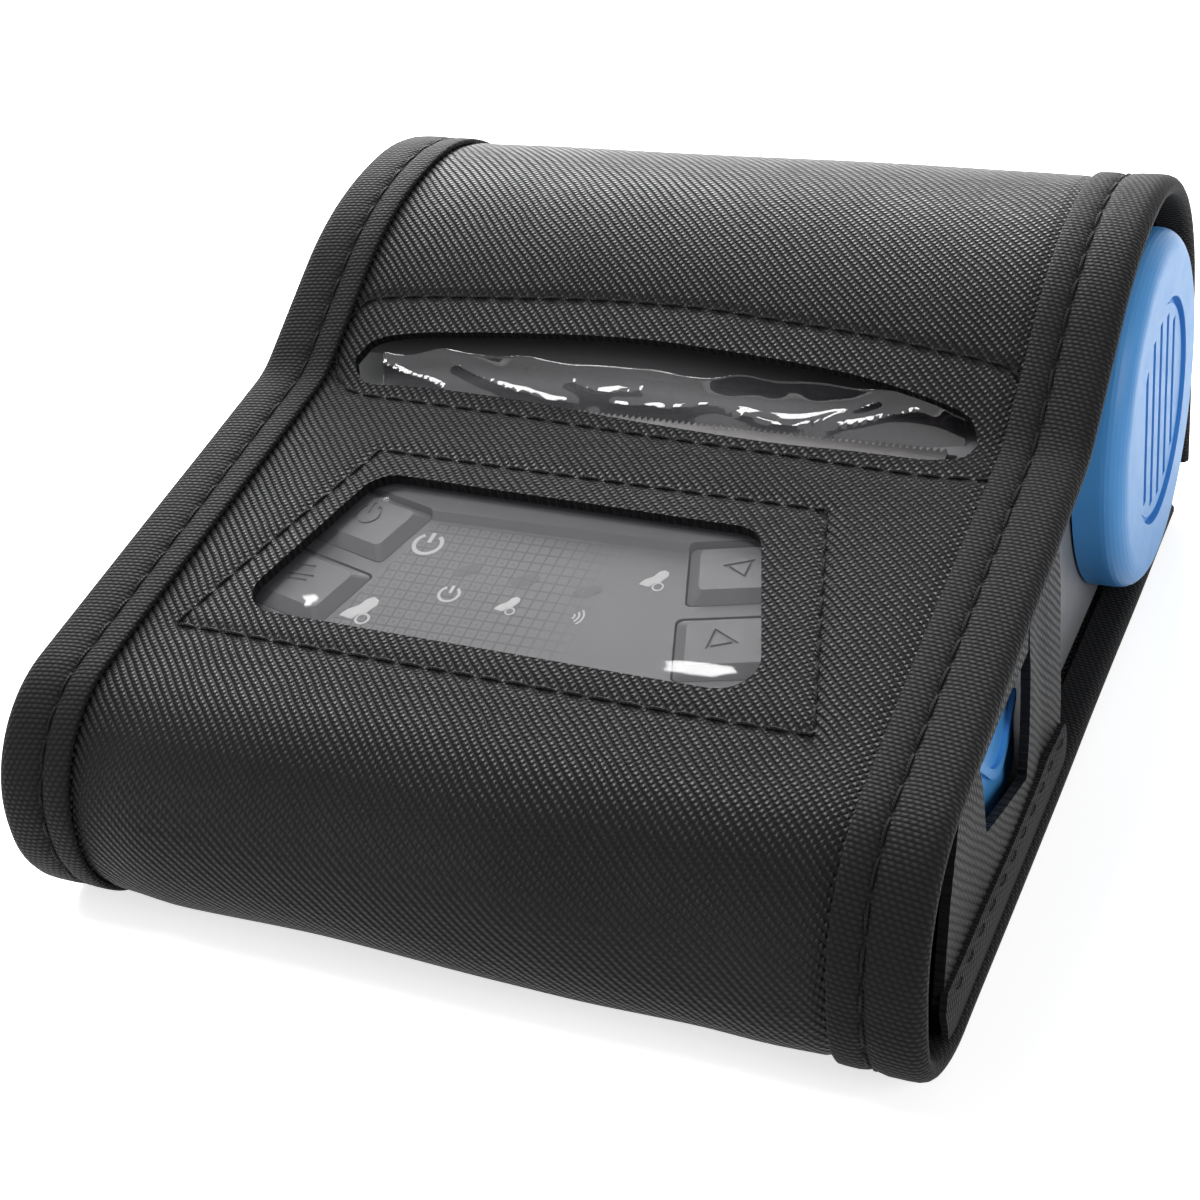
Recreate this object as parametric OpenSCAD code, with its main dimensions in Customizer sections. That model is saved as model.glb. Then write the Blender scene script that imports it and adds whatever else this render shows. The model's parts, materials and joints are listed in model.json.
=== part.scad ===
// Portable receipt printer for an 80 mm paper roll, in its sewn belt case.
// X runs across the paper, Y from the front to the back and Z up.
// The origin is on the table, under the middle of the case.

/* [Case] */
// Width of the case over its bound edges
case_w = 120; // [118:1:124]
// Depth from the front of the case to its back
case_d = 144; // [142:1:150]
// Height of the case over the paper drum
case_h = 60; // [60:0.5:62]
// Angle of the panel slope
slope_angle = 9.8; // [9.4:0.1:10.2]
// Angle of the rise behind the paper slot
rise_angle = 31; // [30.5:0.25:31.5]
// Thickness of the leathercloth
leather_t = 1.4; // [1.2:0.1:1.5]
// Thickness of one layer of edge webbing
webbing_t = 0.7; // [0.6:0.1:0.8]
// Width of the webbing that shows on the outside
webbing_w = 11; // [9:0.5:12]

/* [Printer] */
// Width of the printer's housing
printer_w = 108; // [106:1:108]
// Wall thickness of the housing
wall = 2; // [1.6:0.2:2.2]
// Radius of the round grip caps
cap_r = 25.2; // [22:0.2:25.4]
// How far a grip cap stands out from the middle plane
cap_reach = 61.2; // [60:0.2:62]
// Travel of a panel key
key_travel = 0.8; // [0.5:0.1:0.9]

/* [Mechanism] */
// Length of the rubber on the platen
platen_l = 82; // [80:1:83]
// Radius of the rubber on the platen
platen_r = 5.4; // [5:0.1:5.4]
// Gear module
gear_module = 0.5; // [0.5]
// Teeth on the platen gear
platen_teeth = 20; // [20]
// Teeth on the idler gear
idler_teeth = 34; // [34]
// Teeth on the motor pinion
pinion_teeth = 12; // [12]
// Distance between two teeth of the tear bar
tear_pitch = 0.9; // [0.8:0.1:1.4]

/* [Hidden] */
$fn = 64;

// Colours
black_leather = "#1b1b1d";
black_webbing = "#141416";
grey_plastic = "#6d7073";
dark_grey = "#4c4f52";
sky_blue = "#4b9be1";
clear_film = "#c8d2dc80";
steel = "#b4b6b8";
rubber_black = "#202022";
board_green = "#2c6b46";

// Case profile in the YZ plane: arcs and tangents, each at an inset d from the outside
front_y = -case_d / 2;
back_y = case_d / 2;
brow_r = 17.5;
brow = [front_y + brow_r, 16.2];
toe_r = 15;
toe = [front_y + toe_r, toe_r];
drum_r = 30;
drum = [back_y - drum_r, case_h - drum_r];
shoulder_r = 48;
shoulder = [drum[0], case_h - shoulder_r];
heel_r = 9;
flap_tuck = 2.2;
heel = [back_y - flap_tuck - heel_r, heel_r];
lip_z = 12;
flap_end_z = 4.5;
crease_gap = 0.15;

brow_end = brow + brow_r * [-sin(slope_angle), cos(slope_angle)];
rise_end = shoulder + shoulder_r * [-sin(rise_angle), cos(rise_angle)];
// The crease is where the panel slope meets the rise
crease_y = (rise_end[1] - brow_end[1] + brow_end[0] * tan(slope_angle) - rise_end[0] * tan(rise_angle))
    / (tan(slope_angle) - tan(rise_angle));
crease = [crease_y, brow_end[1] + (crease_y - brow_end[0]) * tan(slope_angle)];

function arc(c, r, a0, a1, n = 16) =
    [for (i = [0:n]) let (a = a0 + (a1 - a0) * i / n) c + r * [cos(a), sin(a)]];
function reversed(p) = [for (i = [len(p) - 1:-1:0]) p[i]];
function unit(v) = v / norm(v);
function slope_z(y) = brow_end[1] + (y - brow_end[0]) * tan(slope_angle);
function slope_at(y, d) = [y, slope_z(y) - d / cos(slope_angle)];
function front_curve(d) = concat(
    arc(brow, brow_r - d, 90 + slope_angle, 180),
    arc(toe, toe_r - d, 180, 270));
function crease_front(d) =
    crease - crease_gap * [cos(slope_angle), sin(slope_angle)] + d * [sin(slope_angle), -cos(slope_angle)];
function crease_back(d) =
    crease + crease_gap * [cos(rise_angle), sin(rise_angle)] + d * [sin(rise_angle), -cos(rise_angle)];
edge_end_y = 60;
function body_edge(d) = concat([crease_front(d)], front_curve(d), [[edge_end_y, d]]);
function body_line(d) = concat([crease_front(d)], front_curve(d),
    arc(heel, heel_r - d, 270, 360), [[heel[0] + heel_r - d, lip_z]]);
function flap_line(d) = concat([crease_back(d)],
    arc(shoulder, shoulder_r - d, 90 + rise_angle, 90, 12),
    arc(drum, drum_r - d, 90, 0, 24), [[back_y - d, flap_end_z]]);

// One rounded corner of an outline, and a whole outline with rounded corners
function corner(p0, p, p1, r, n) =
    let (u = unit(p0 - p), v = unit(p1 - p), half = acos(u * v) / 2)
    let (c = p + unit(u + v) * r / sin(half), s = p + u * r / tan(half) - c, e = p + v * r / tan(half) - c)
    let (a0 = atan2(s[1], s[0]), turn = (atan2(e[1], e[0]) - a0 + 540) % 360 - 180)
    [for (i = [0:n]) c + r * [cos(a0 + turn * i / n), sin(a0 + turn * i / n)]];
function rounded(pts, r, n = 5) = let (k = len(pts))
    [for (i = [0:k - 1]) each corner(pts[(i + k - 1) % k], pts[i], pts[(i + 1) % k], r, n)];

// Extrudes a YZ outline along X
module along_x(x0, x1) {
    translate([x0, 0, 0]) rotate([90, 0, 90]) linear_extrude(x1 - x0) children();
}
module strip(outer, inner, x0, x1) {
    along_x(x0, x1) polygon(concat(outer, reversed(inner)));
}
module rod(c, r, x0, x1) {
    translate([x0, c[0], c[1]]) rotate([0, 90, 0]) cylinder(h = x1 - x0, r = r);
}
module on_slope(y) {
    translate([0, y, slope_z(y)]) rotate([slope_angle, 0, 0]) children();
}
// Joins two outlines with the same number of points, h apart; each is seen whole from its first point
module frustum(lower, upper, h) {
    n = len(lower);
    sides = [for (i = [0:n - 1]) let (j = (i + 1) % n) each [[i, n + i, j], [j, n + i, n + j]]];
    polyhedron(
        points = concat([for (p = lower) [p[0], p[1], 0]], [for (p = upper) [p[0], p[1], h]]),
        faces = concat([[for (i = [0:n - 1]) i]], [[for (i = [n:-1:1]) n + i % n]], sides));
}
module left_of() {
    mirror([1, 0, 0]) children();
}
module both_sides() {
    children();
    mirror([1, 0, 0]) children();
}
// Mirrors a key to the other side of the panel's own middle
module opposite() {
    translate([2 * panel_x, 0, 0]) left_of() children();
}

// Case
leather_in = webbing_t + leather_t;
lining_in = leather_in + webbing_t;
half_w = case_w / 2;
leather_half = half_w - webbing_t;
webbing_x = half_w - webbing_w;
webbing_lining_w = 5.4;
webbing_inner_x = half_w - webbing_lining_w;
tongue_half = 46;
window_x = -2.8;
window_y = -31.6;
window = [[-36.6, -14.6], [36.6, -14.6], [28, 14.6], [-28, 14.6]];
window_r = 4.5;
film_edge = [[-41.5, -18], [41.5, -18], [32, 18.3], [-32, 18.3]];
film_t = 0.25;
slot_y = 3.6;
slot_half = 44.5;
slot_front = 4.4;
slot_back = 7.4;

// The slot is an eye: nearly straight in front, bowed at the back
function slot_outline() = concat(
    [for (t = [0:6:180]) [slot_half * cos(t), slot_y + slot_back * pow(sin(t), 0.8)]],
    [for (t = [6:6:174]) [-slot_half * sign(cos(t)) * pow(abs(cos(t)), 0.45), slot_y - slot_front * pow(sin(t), 0.6)]]);
module slot_cut() {
    translate([0, 0, 34]) linear_extrude(24) polygon(slot_outline());
}

module case_body() {
    color(black_leather) difference() {
        strip(body_line(webbing_t), body_line(leather_in), -leather_half, leather_half);
        on_slope(window_y) translate([window_x, 0, -4]) linear_extrude(6) polygon(rounded(window, window_r));
        slot_cut();
        both_sides() translate([tongue_half, edge_end_y, -1]) cube([30, 30, 30]);
    }
}
module case_flap() {
    color(black_leather) difference() {
        strip(flap_line(webbing_t), flap_line(leather_in), -leather_half, leather_half);
        slot_cut();
    }
}
// Webbing folded over an edge: a wide outer leaf, the fold and a short inner leaf
module binding(l0, l1, l2, l3) {
    color(black_webbing) {
        strip(l0, l1, webbing_x, half_w);
        strip(l1, l2, leather_half, half_w);
        strip(l2, l3, webbing_inner_x, half_w);
    }
}
module case_binding_right() {
    binding(body_edge(0), body_edge(webbing_t), body_edge(leather_in), body_edge(lining_in));
}
module case_binding_left() {
    left_of() case_binding_right();
}
module flap_binding_right() {
    binding(flap_line(0), flap_line(webbing_t), flap_line(leather_in), flap_line(lining_in));
}
module flap_binding_left() {
    left_of() flap_binding_right();
}

// Side panel sewn to the edge webbing, with a free front end and a free back edge
gusset_x = 57.2;
gusset_t = 1.2;
gusset_back = -7;
gusset_hem = 6;
gusset_outline = [
    slope_at(gusset_back, lining_in), slope_at(-51, lining_in),
    [-57.5, 20], [-62, 9], [toe[0], lining_in], [gusset_back, lining_in]];
port_window = [[-21.5, 30.5], [-24, 16], [-40.5, 17], [-44.5, 29]];
port_slit = [[-22.1, 30], [-21.3, 30], [-20, 34.4], [-20.6, 34.4]];
hem_outline = [
    [toe[0], lining_in], [-62.5, 4.8], [-63.5, 8.5], [-56, lining_in + gusset_hem],
    [gusset_back, lining_in + gusset_hem], [gusset_back, lining_in]];
module gusset_panel() {
    along_x(gusset_x, gusset_x + gusset_t) polygon(gusset_outline);
}
module gusset_right() {
    color(black_leather) difference() {
        gusset_panel();
        along_x(gusset_x - 1, gusset_x + 3) polygon(rounded(port_window, 1.2));
        along_x(gusset_x - 1, gusset_x + 3) polygon(port_slit);
    }
}
module gusset_left() {
    color(black_leather) left_of() gusset_panel();
}
module gusset_binding_right() {
    color(black_webbing) along_x(gusset_x + gusset_t, gusset_x + gusset_t + webbing_t)
        polygon(rounded(hem_outline, 0.8));
}
module gusset_binding_left() {
    left_of() gusset_binding_right();
}
module window_film() {
    color(clear_film) on_slope(window_y) translate([window_x, 0, -leather_in - film_t])
        linear_extrude(film_t) polygon(rounded(film_edge, 3));
}
// Clear film that stands in the paper exit, with its main folds
film_y = 3.55;
film_z = 38.2;
film_h = 7.8;
film_half = 40;
function film_wave(x, side) = film_y + 0.28 * sin(x * 17) * cos(x * 5) + 0.1 * side;
module slot_film() {
    color(clear_film) translate([0, 0, film_z]) linear_extrude(film_h) polygon(concat(
        [for (x = [-film_half:1:film_half]) [x, film_wave(x, -1)]],
        [for (x = [film_half:-1:-film_half]) [x, film_wave(x, 1)]]));
}
tape_half = 40;
tape_z = [5, 11.5];
tape_t = 0.38;
module tape(y) {
    translate([-tape_half, y, tape_z[0]]) cube([2 * tape_half, tape_t, tape_z[1] - tape_z[0]]);
}
module closure_loop() {
    color(rubber_black) tape(heel[0] + heel_r - webbing_t);
}
module closure_hook() {
    color(rubber_black) tape(back_y - leather_in - tape_t);
}

// Printer housing
skin = 3;
half_p = printer_w / 2;
part_z = 15.7;
tray_back = heel[0] + heel_r - skin;
hinge = [59, 18];
lip_y = 4.6;
lip_top = 39.5;
lip_under = 38.4;
lip_corner = [lip_y, 36.4];
lip_dir = unit(lip_corner - hinge);
shoulder_y = 3.4;
exit_y = -1;
knuckle_r = 8;
part_gap = 0.15;

function tray_outline(d) = concat(
    [[front_y + skin + d, part_z]], arc(toe, toe_r - skin - d, 180, 270),
    arc(heel, heel_r - skin - d, 270, 360), [[tray_back - d, 11]]);
lip_angle = atan2(lip_dir[1], lip_dir[0]);
// Side of the lower shell under the parting line that runs to the hinge
side_outline = concat(
    [[front_y + skin, part_z]], arc(toe, toe_r - skin, 180, 270),
    arc(heel, heel_r - skin, 270, 360), [[tray_back, 10.5]],
    arc(hinge, knuckle_r + 0.35, -57, -94, 6), [hinge + 0.6 * [cos(215), sin(215)]],
    [lip_corner + part_gap * [-lip_dir[1], lip_dir[0]] - [0, 0.3]],
    [[shoulder_y + 0.3, 35.6], [shoulder_y + 0.3, part_z]]);
bin_centre = [36, 27];
bin_r = 21;
bin_wall = 1.6;
rib_h = 0.6;
rib_step = 12;
function bin_line(r) = concat([[bin_centre[0] - r * cos(15), 33]], arc(bin_centre, r, 195, 300, 18));
bin_floor_z = bin_centre[1] - bin_r * sin(60);
module lower_shell() {
    color(grey_plastic) {
        difference() {
            along_x(-half_p, half_p) polygon(concat(tray_outline(0), [[54, 11], [54, part_z]]));
            along_x(-half_p + wall, half_p - wall)
                polygon(concat(tray_outline(wall), [[54, 20], [front_y + skin + wall, 20]]));
            battery_opening();
            screw_holes();
            port_opening();
            both_sides() rod(hinge, knuckle_r + 0.35, half_p - wall - 0.1, half_p + 1);
        }
        difference() {
            both_sides() along_x(half_p - wall, half_p) polygon(side_outline);
            battery_opening();
            port_opening();
        }
        strip(bin_line(bin_r), bin_line(bin_r + bin_wall), -half_p + wall, half_p - wall);
        both_sides() hinge_ear();
        for (p = [[38, -38.5], [47.5, -27]]) translate([p[0], p[1], skin + 1])
            cylinder(h = port_board_z - skin - 1, r = port_post_r);
        for (x = [-3:3]) strip(bin_line(bin_r - rib_h), bin_line(bin_r + 0.1), x * rib_step - 0.5, x * rib_step + 0.5);
    }
}
ear_x = [44.3, 49.8];
module hinge_ear() {
    difference() {
        along_x(ear_x[0], ear_x[1]) polygon(concat([[55.5, 4]], [[62.5, 4]], arc(hinge, 3.5, 0, 180, 12)));
        rod(hinge, 1.55, ear_x[0] - 1, ear_x[1] + 1);
    }
}
battery_y = [-57, -21];
battery_half = 35;
pack_half = 33;
pack_t = 10;
module battery_opening() {
    translate([-battery_half, battery_y[0], 0]) cube([2 * battery_half, battery_y[1] - battery_y[0], 8]);
}
module battery_cover() {
    gap = 0.25;
    color(grey_plastic) difference() {
        translate([-battery_half + gap, battery_y[0] + gap, skin])
            cube([2 * (battery_half - gap), battery_y[1] - battery_y[0] - 2 * gap, wall]);
        for (i = [-2:2])
            translate([-9, battery_y[0] + 6 + i * 1.6, skin - 0.5]) cube([18, 0.8, 1]);
    }
}
module battery_pack() {
    y0 = battery_y[0] + 1.5;
    y1 = battery_y[1] - 1.5;
    color(dark_grey) translate([0, 0, skin + wall + 0.1]) linear_extrude(pack_t)
        polygon(rounded([[-pack_half, y0], [pack_half, y0], [pack_half, y1], [-pack_half, y1]], 2.5));
}
screw_at = [46, -53.5];
boss_h = 26;
module screw_holes() {
    both_sides() translate([screw_at[0], screw_at[1], 0]) {
        cylinder(h = 12, r = 1.6);
        cylinder(h = skin + 1.2, r = 3);
    }
}
module screw_boss(r) {
    translate([screw_at[0], screw_at[1], skin + wall]) cylinder(h = boss_h, r = r);
}
module housing_screws() {
    color(steel) both_sides() translate([screw_at[0], screw_at[1], skin]) difference() {
        union() {
            cylinder(h = 1.1, r = 2.7);
            cylinder(h = 9, r = 1.5);
        }
        translate([-2, -0.4, -0.1]) cube([4, 0.8, 0.7]);
    }
}

function top_outline(d) = concat([slope_at(shoulder_y, skin + d)],
    arc(brow, brow_r - skin - d, 90 + slope_angle, 180), [[front_y + skin + d, part_z + 0.1]]);
// The panel lies in a bevelled hollow; keys fan out to both sides of the overlay
panel_x = -3.5;
panel_drop = 0.9;
panel_hollow = [[-43, -15.5], [43, -15.5], [40, 16.6], [17.8, 10.8], [-17.8, 10.8], [-40, 16.6]];
panel_rise = 2;
panel_rim = [for (p = panel_hollow) [1.04 * p[0], p[1] + panel_rise * sign(p[1])]];
key_half = [8.5, 5];
key_shear = 0.31;
key_rake = 0.26;
power_at = [-28.4, 8.9];
feed_at = [-31.3, -3.8];
function key_corner(u, v, w, h) = [u * w + key_shear * v * h, v * h - key_rake * u * w];
key_clear = 0.25;
function key_outline(at, inset) = let (w = key_half[0] - inset, h = key_half[1] - inset)
    rounded([at + key_corner(-1, 1, w, h), at + key_corner(-1, -1, w, h),
        at + key_corner(1, -1, w, h), at + key_corner(1, 1, w, h)], 0.9);
overlay = [[-17.6, 10.3], [-24.2, -14.5], [24.2, -14.5], [17.6, 10.3]];
overlay_t = 0.4;
module on_panel() {
    translate([panel_x, 0, 0]) on_slope(window_y) children();
}
module upper_shell() {
    color(grey_plastic) difference() {
        union() {
            difference() {
                along_x(-half_p, half_p) polygon(concat(top_outline(0), [[shoulder_y, part_z + 0.1]]));
                along_x(-half_p + wall, half_p - wall)
                    polygon(concat(top_outline(wall), [[front_y + skin + wall, 0], [shoulder_y + 5, 0]],
                        [slope_at(shoulder_y + 5, skin + wall)]));
            }
            intersection() {
                both_sides() screw_boss(3.4);
                along_x(-half_p, half_p) polygon(concat(top_outline(1), [[front_y + 8, skin + wall + 0.1], [-40, skin + wall + 0.1]]));
            }
        }
        translate([-43, exit_y, 20]) cube([86, 10, 30]);
        both_sides() translate([screw_at[0], screw_at[1], 0]) cylinder(h = 16, r = 1.55);
        on_panel() {
            translate([0, 0, -skin - panel_drop]) frustum(panel_hollow, panel_rim, panel_rise);
            translate([0, 0, -skin - panel_drop - overlay_t]) linear_extrude(2) polygon(rounded(overlay, 1));
            for (k = [power_at, feed_at]) both_sides()
                translate([0, 0, -skin - wall - 1]) linear_extrude(wall + 3) polygon(key_outline(k, -key_clear));
        }
        port_opening();
    }
}
module panel_overlay() {
    color(dark_grey) on_panel() translate([0, 0, -skin - panel_drop - overlay_t])
        linear_extrude(overlay_t) polygon(rounded(overlay, 1));
}
// A key: sheared cap with bevelled sides and a stem over its switch
key_top = -skin + 0.25;
key_cap_h = 2.6;
key_bevel_h = 1.3;
key_bevel = 1.45;
stem_end = -8.2;
mark_deep = 0.25;
module key_cap(at) {
    on_panel() translate([at[0], at[1], 0]) {
        translate([0, 0, key_top - key_cap_h]) linear_extrude(key_cap_h - key_bevel_h) polygon(key_outline([0, 0], 0));
        translate([0, 0, key_top - key_bevel_h])
            frustum(key_outline([0, 0], 0), key_outline([0, 0], key_bevel), key_bevel_h);
        translate([0, 0, stem_end]) cylinder(h = key_top - key_cap_h - stem_end + 0.5, r = 1.6);
    }
}
module key_mark(at, shift) {
    on_panel() translate([at[0] + shift[0], at[1] + shift[1], key_top - mark_deep]) children();
}
module power_key() {
    color(dark_grey) difference() {
        key_cap(power_at);
        key_mark(power_at, [1.7, 0.2]) power_symbol(1);
    }
}
// Standby mark: an open ring with a short bar in its gap
module power_symbol(h) {
    difference() {
        cylinder(h = h, r = 2);
        translate([0, 0, -1]) cylinder(h = h + 2, r = 1.55);
        translate([-0.8, 0, -1]) cube([1.6, 4, h + 2]);
    }
    translate([-0.25, 0.2, 0]) cube([0.5, 2.2, h]);
}
module feed_key() {
    color(dark_grey) difference() {
        key_cap(feed_at);
        key_mark(feed_at, [1, 0.3]) {
            translate([-1.4, 0.5, 0]) cube([2.8, 1.3, 1]);
            translate([-2, -0.4, 0]) cube([4, 0.4, 1]);
            translate([-1.4, -1.3, 0]) cube([2.8, 0.4, 1]);
        }
    }
}
// Outlined triangle that points to the side
module arrow(side) {
    linear_extrude(1) difference() {
        polygon([[-1.8 * side, -1.8], [-1.8 * side, 1.8], [1.9 * side, 0]]);
        polygon([[-1.35 * side, -1.15], [-1.35 * side, 1.15], [1 * side, 0]]);
    }
}
module up_key() {
    color(dark_grey) difference() {
        opposite() key_cap(power_at);
        key_mark([-power_at[0], power_at[1]], [-2.6, -0.5]) arrow(-1);
    }
}
module down_key() {
    color(dark_grey) difference() {
        opposite() key_cap(feed_at);
        key_mark([-feed_at[0], feed_at[1]], [-2.6, -0.5]) arrow(1);
    }
}
board_z = -13.6;
board_t = 1.6;
board_w = 94;
board_s = [-13.5, 17];
chip_t = 1.2;
lamp_x = [-9, 0, 9];
// Sockets sit on a small board of their own beside the battery
port_board_z = 13.9;
module main_board() {
    color(board_green) {
        on_panel() {
            translate([-board_w / 2, board_s[0], board_z]) cube([board_w, board_s[1] - board_s[0], board_t]);
            for (i = [0:3]) translate([-12 + i * 7, 8, board_z + board_t]) cube([5, 5, chip_t]);
            translate([-6, -10, board_z + board_t]) cube([12, 10, 1.4 * chip_t]);
            for (x = lamp_x) translate([x - 1, 3, board_z + board_t]) cube([2, 2, chip_t]);
            translate([30, -12, board_z - chip_t]) cube([8, 8, chip_t]);
        }
        translate([34, -41, port_board_z]) cube([16.4, 19, board_t]);
    }
}
module key_switches() {
    color("#c9c9c4") on_panel() for (k = [power_at, feed_at]) both_sides()
        translate([k[0], k[1], board_z + board_t]) {
            translate([-3, -3, 0]) cube([6, 6, 1.6]);
            cylinder(h = 2.6, r = 1.5);
        }
}

// Right side: sockets behind a blue rubber cover with a raised wave
port_y = [-46, -19];
port_z = [10, 30];
port_hole_y = [-41.5, -22.5];
port_hole_z = [13.5, 25];
port_post_r = 2;
module port_opening() {
    translate([half_p - 0.8, port_y[0], port_z[0]]) cube([3, port_y[1] - port_y[0], port_z[1] - port_z[0]]);
    translate([half_p - wall - 1, port_hole_y[0], port_hole_z[0]])
        cube([6, port_hole_y[1] - port_hole_y[0], port_hole_z[1] - port_hole_z[0]]);
}
function wave(t, k) = [port_y[0] + 1 + (port_y[1] - port_y[0] - 2) * t, 19.5 + 4.2 * sin(360 * t + 20) + k];
module port_cover() {
    g = 0.15;
    x0 = half_p - 0.8;
    color(sky_blue) {
        along_x(x0, x0 + 2.4) polygon(rounded([[port_y[0] + g, port_z[0] + g], [port_y[1] - g, port_z[0] + g],
            [port_y[1] - g, port_z[1] - g], [port_y[0] + g, port_z[1] - g]], 2));
        along_x(x0 + 2.4, x0 + 3) polygon(concat([for (t = [0:0.05:1]) wave(t, 0)], [for (t = [1:-0.05:0]) wave(t, 1.6)]));
        along_x(x0 - 2.2, x0) polygon(rounded([[port_hole_y[0] + 0.3, port_hole_z[0] + 0.3],
            [port_hole_y[1] - 0.3, port_hole_z[0] + 0.3], [port_hole_y[1] - 0.3, port_hole_z[1] - 0.3],
            [port_hole_y[0] + 0.3, port_hole_z[1] - 0.3]], 1));
    }
}
socket_z = port_board_z + board_t;
power_socket_at = [-26.5, socket_z + 4];
module usb_socket() {
    color(steel) difference() {
        translate([41, -39.5, socket_z]) cube([9.5, 8, 4]);
        translate([42, -38.9, socket_z + 0.6]) cube([9.5, 6.8, 2.8]);
    }
}
module power_socket() {
    color(rubber_black) difference() {
        rod(power_socket_at, 4, 40, 50.5);
        rod(power_socket_at, 2.8, 42, 52);
    }
    color(steel) rod(power_socket_at, 0.8, 41.9, 50);
}

// Printing mechanism
platen = [7.9, 31.5];
head_face_y = platen[0] - platen_r - 0.1;
gear_t = 3;
gear_x = -50.6;
mesh_down = unit([-0.288, -0.957]);
platen_pitch = gear_module * platen_teeth / 2;
idler_pitch = gear_module * idler_teeth / 2;
pinion_pitch = gear_module * pinion_teeth / 2;
idler = platen + mesh_down * (platen_pitch + idler_pitch);
pinion_dir = unit([-11.4, -1.5]);
pinion = idler + pinion_dir * (pinion_pitch + idler_pitch);
frame_x = [45, 46.2];
frame_top = 36;
shaft_r = 2.5;
sink_pivot = [-0.1, 26.6];
pivot_r = 1.5;

frame_side = [[-8, 5.1], [-8, 33], [-2.2, frame_top], [12.6, frame_top], [13.2, 20], [12, 5.1]];
module mech_frame() {
    color(steel) {
        difference() {
            both_sides() along_x(frame_x[0], frame_x[1]) polygon(frame_side);
            both_sides() {
                rod(platen, shaft_r + 0.4, frame_x[0] - 1, frame_x[1] + 1);
                along_x(frame_x[0] - 1, frame_x[1] + 1) polygon([
                    platen + (shaft_r + 0.4) * [-0.957, 0.288], platen + (shaft_r + 0.4) * [0.957, -0.288],
                    platen + (shaft_r + 1.4) * [0.957, -0.288] + [3, 9], platen + (shaft_r + 1) * [-0.957, 0.288] + [2, 9]]);
                rod(sink_pivot, pivot_r + 0.05, frame_x[0] - 1, frame_x[1] + 1);
            }
            rod(idler, 1.5, -frame_x[1] - 1, -frame_x[0] + 1);
            rod(pinion, 4, -frame_x[1] - 1, -frame_x[0] + 1);
        }
        translate([-frame_x[0], -7.2, 25.4]) cube([2 * frame_x[0], 1.2, 8]);
        both_sides() translate([frame_x[0] - 8, -8, 5.1]) cube([8, 10, 1.2]);
    }
}
// Serrated blade on the rim of the upper shell
tooth_root = 1.6;
tooth_tip = 2.5;
module tear_bar() {
    n = floor(84 / tear_pitch);
    w = n * tear_pitch;
    color(steel) on_slope(0) translate([0, 0, -skin]) linear_extrude(0.6) polygon(concat(
        [[w / 2, -9], [-w / 2, -9]],
        [for (i = [0:n - 1]) each [[-w / 2 + i * tear_pitch, tooth_root], [-w / 2 + (i + 0.5) * tear_pitch, tooth_tip]]],
        [[w / 2, tooth_root]]));
}
sink_half = 41.5;
module head_sink() {
    y1 = head_face_y - 1;
    color("#c3c6c8") {
        along_x(-sink_half, sink_half) polygon([[y1 - 3, 25], [y1, 25], [y1, 36.2], [y1 - 2.4, 36.2], [y1 - 2.4, 34.6],
            [y1 - 1.4, 34.6], [y1 - 1.4, 33.6], [y1 - 2.4, 33.6], [y1 - 2.4, 29], [y1 - 3, 29]]);
        both_sides() rod(sink_pivot, pivot_r, sink_half - 1, frame_x[1]);
    }
}
module print_head() {
    y1 = head_face_y - 1;
    color("#e3ded2") translate([-40.5, y1, 25.5]) cube([81, 0.8, 11.5]);
    color(dark_grey) translate([-40, y1 + 0.8, platen[1] - 1]) cube([80, 0.2, 2]);
}
// Two coil springs between the frame's cross plate and the head
spring_r = 1.9;
spring_wire = 0.35;
spring_turns = 4;
spring_l = 3.6;
ring_sides = 6;
spring_steps = spring_turns * 12;
function spring_axis(i) = let (a = 360 * spring_turns * i / spring_steps)
    [spring_r * cos(a), spring_l * i / spring_steps, spring_r * sin(a)];
function spring_ring(i) = let (a = 360 * spring_turns * i / spring_steps)
    [for (k = [0:ring_sides - 1]) let (b = 360 * k / ring_sides)
        spring_axis(i) + spring_wire * (cos(b) * [cos(a), 0, sin(a)] + sin(b) * [0, 1, 0])];
module coil_spring() {
    pts = [for (i = [0:spring_steps]) each spring_ring(i)];
    sides = [for (i = [0:spring_steps - 1]) for (k = [0:ring_sides - 1])
        let (a = i * ring_sides + k, b = i * ring_sides + (k + 1) % ring_sides)
        each [[a, a + ring_sides, b], [b, a + ring_sides, b + ring_sides]]];
    first = [for (k = [1:ring_sides - 2]) [0, k, k + 1]];
    last = [for (k = [1:ring_sides - 2]) let (o = spring_steps * ring_sides) [o, o + k + 1, o + k]];
    polyhedron(points = pts, faces = concat(sides, first, last));
}
module head_springs() {
    color(steel) for (x = [-24, 24]) translate([x, -6 + spring_wire, 30.5]) coil_spring();
}
module step_motor() {
    r = 7.4;
    color(steel) difference() {
        rod(pinion, r, -44.4, -30);
        rod(pinion, motor_shaft_r + 0.05, -45, -40.8);
    }
    color(steel) difference() {
        along_x(-45, -44.4) polygon([for (p = rounded([[-11, -3], [-11, 3], [11, 3], [11, -3]], 2.5)) pinion + p]);
        rod(pinion, motor_shaft_r + 0.05, -46, -44);
    }
}
motor_shaft_r = 1;
gear_edge = 50.4;
module motor_shaft() {
    color(steel) rod(pinion, motor_shaft_r, -gear_edge, -41);
}
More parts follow.
